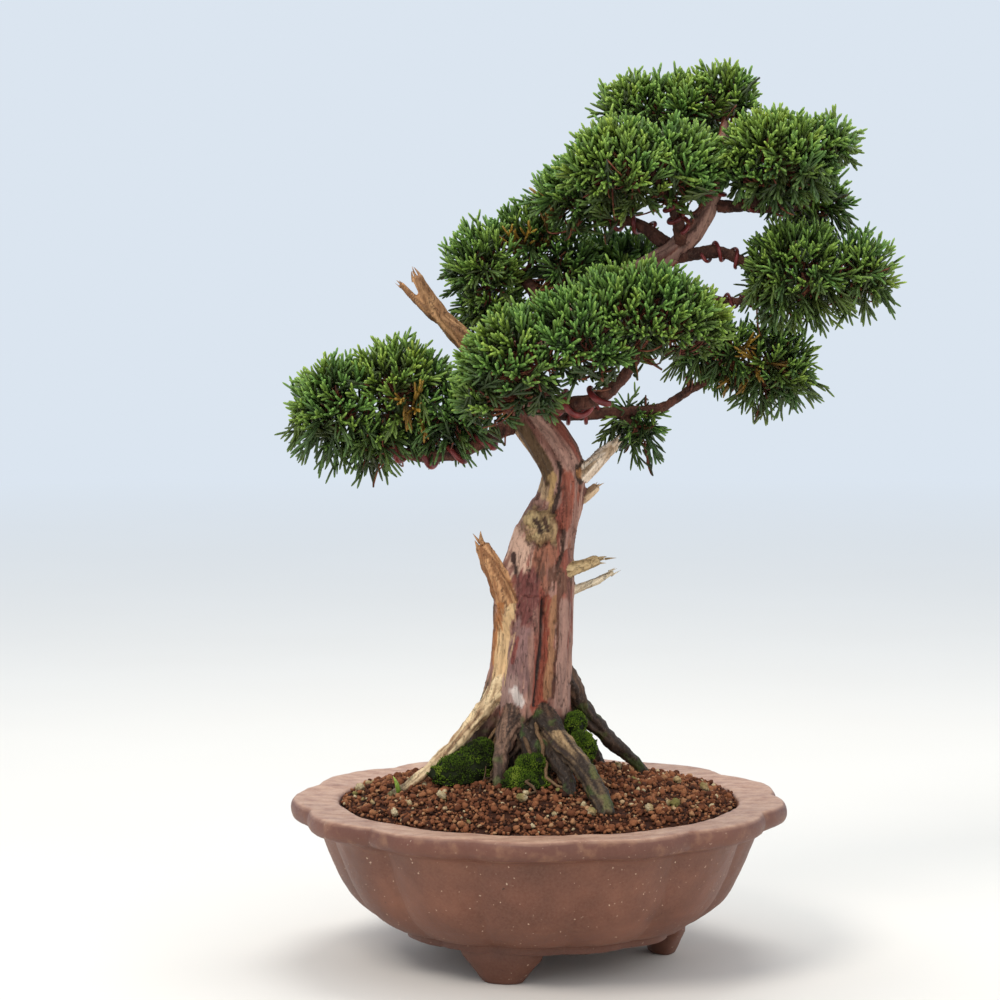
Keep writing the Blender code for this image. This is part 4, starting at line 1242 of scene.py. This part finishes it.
@functools.cache
def leaf_material():
    """Scale leaves: bright at a sprig's tips, and dark inside it with painted shade. The map's first
    number picks the tint.
    """
    made = Shader("juniper_green", 0.46, specular=0.4)
    tint, rise = made.map_places()
    cool = made.ramp(rise, [
        (0.0, (30, 34, 17)), (0.4, (62, 86, 38)), (0.75, (98, 138, 58)), (1.0, (144, 184, 80)),
    ])
    warm = made.ramp(rise, [
        (0.0, (44, 42, 18)), (0.4, (90, 104, 36)), (0.75, (140, 164, 56)), (1.0, (192, 212, 86)),
    ])
    bronze = made.ramp(rise, [(0.0, (70, 44, 18)), (0.6, (150, 112, 38)), (1.0, (190, 152, 56))])
    green = made.mix(made.spread(tint, 0.15, 0.8), cool, warm)
    leaf = made.mix(made.spread(tint, 0.83, 0.85), green, bronze)
    scales = made.noise(0.9, 2)
    made.colour(made.mix(made.spread(scales, 0.55, 0.3, 0.0, 0.45), leaf, (22, 34, 14)))
    made.bump(scales, 0.3, 0.7)
    return made.material


def limb_places():
    """Points on every limb and the trunk's top, from which twigs grow."""
    found = [mm_points(NODES[n].data) for n in NODES if n.startswith("limb_")]
    top = mm_points(NODES["trunk"].data)
    return np.vstack([*found, top[top[:, 2] > 400]])


def build_twigs(node, bases, rng):
    """Twigs from the nearest limb, by way of a few hubs, to each sprig."""
    low, high = (in_mm(corner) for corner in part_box(node))
    limbs = limb_places()
    near = limbs[((limbs > low - 18) & (limbs < high + 10)).all(1)]
    if not len(near):
        near = limbs[[np.argmin(((limbs - (low + high) / 2) ** 2).sum(1))]]
    core = (low + high) / 2 - UP * 0.2 * (high[2] - low[2])
    tree = near
    paths, radii = [], []
    hubs = bases[rng.choice(len(bases), min(16, len(bases)), replace=False)]
    hubs = hubs + 0.3 * (core - hubs)
    hubs = hubs[np.argsort(((hubs[:, None] - near[None]) ** 2).sum(2).min(1))]
    for thick, ends in ((1.3, hubs), (0.62, bases)):
        for end in ends:
            start = tree[np.argmin(((tree - end) ** 2).sum(1))]
            reach = np.linalg.norm(end - start)
            sag = rng.normal(0, 0.08, 3) * reach - UP * 0.1 * reach
            t = np.linspace(0, 1, 6)[:, None]
            path = start + (end - start) * t + sag * 4 * t * (1 - t)
            paths.append(path)
            radii.append(np.linspace(thick, thick * 0.7, 6))
            if thick > 1:
                tree = np.vstack([tree, path[1:]])
    points, faces = tubes(np.array(paths), np.array(radii), 6)
    points = points + 0.12 * fractal(points, 1.5, 2, 8)[:, None]
    made = piece(node.replace("foliage", "twigs"), points, faces)
    finish(made, twig_material())


@functools.cache
def twig_material():
    made = Shader("twig", 0.75, specular=0.3)
    tone = made.ramp(made.noise(4, 3), [
        (0.35, (72, 36, 28)), (0.5, (112, 58, 42)), (0.62, (132, 86, 54)), (0.7, (84, 92, 42)),
    ])
    made.colour(tone)
    return made.material


# ---- stage

SKY = (219, 229, 240)
LAMPS_AIM = Vector((0, 0, 0.25))


def build_stage():
    bpy.ops.mesh.primitive_circle_add(vertices=96, radius=9.0, fill_type="NGON", location=(0, 0, 0))
    floor = bpy.context.object
    floor.name = "floor"
    made = Shader("floor_paper", 0.9, specular=0.0)
    away = made.add("VectorMath", {0: made.place()}, operation="LENGTH").outputs["Value"]
    fade = made.spread(away, 0.9, 3.2)
    paper = made.mix(made.noise(300, 2), (232, 226, 217), (236, 231, 223))
    made.colour(made.mix(fade, paper, (0, 0, 0)))
    made.surface.inputs["Emission Color"].default_value = (*srgb(*SKY), 1.0)
    made.tree.links.new(fade, made.surface.inputs["Emission Strength"])
    floor.data.materials.append(made.material)

    world = bpy.data.worlds.new("studio")
    bpy.context.scene.world = world
    world.use_nodes = True
    back = world.node_tree.nodes["Background"]
    back.inputs["Color"].default_value = (*srgb(*SKY), 1.0)
    back.inputs["Strength"].default_value = 1.0
    lamp("key", (-1.0, -1.4, 1.9), 0.9, 25, (1.0, 0.95, 0.88))
    lamp("fill", (1.4, -1.0, 1.0), 1.4, 6, (1.0, 0.96, 0.9))
    lamp("top", (0.1, 0.4, 2.0), 1.0, 14, (1.0, 1.0, 1.0))
    view = bpy.context.scene.view_settings
    view.view_transform = "Standard"
    view.look = "None"


def lamp(name, place, size, watts, colour):
    light = bpy.data.lights.new(name, "AREA")
    light.shape = "DISK"
    light.size = size
    light.energy = watts
    light.color = colour
    made = placed(name, light)
    made.location = place
    made.rotation_euler = (LAMPS_AIM - Vector(place)).to_track_quat("-Z", "Y").to_euler()


CAMERA_FROM_AXIS = (-0.022, -2.0, 0.4462)
CAMERA_TILT_DEG = 5.26
LENS_MM = 128.1


def build_camera():
    """From the front, level with the upper foliage and tilted a little down."""
    lens = bpy.data.cameras.new("camera")
    lens.lens = LENS_MM
    lens.sensor_width = 36
    lens.clip_start = 0.05
    camera = placed("camera", lens)
    camera.location = Vector(AXIS) + Vector(CAMERA_FROM_AXIS)
    camera.rotation_euler = (math.radians(90 - CAMERA_TILT_DEG), 0, 0)
    bpy.context.scene.camera = camera


build_camera()
build_stage()
build_pot()
build_soil()
build_grains()
build_pebbles()
for moss_node in ("moss_left", "moss_front", "moss_right"):
    build_moss(moss_node)
build_trunk()
build_splinters()
build_rootlets()
build_limbs()
build_wires()
for foliage_node in nodes_called("foliage_"):
    build_foliage(foliage_node, RANDOM)
screen = Shader("screen_plastic", 0.45)
screen.colour(screen.mix(screen.noise(5, 2), (18, 18, 20), (34, 34, 36)))
for screen_node in nodes_called("drainage_screen_"):
    finish(NODES[screen_node], screen.material)
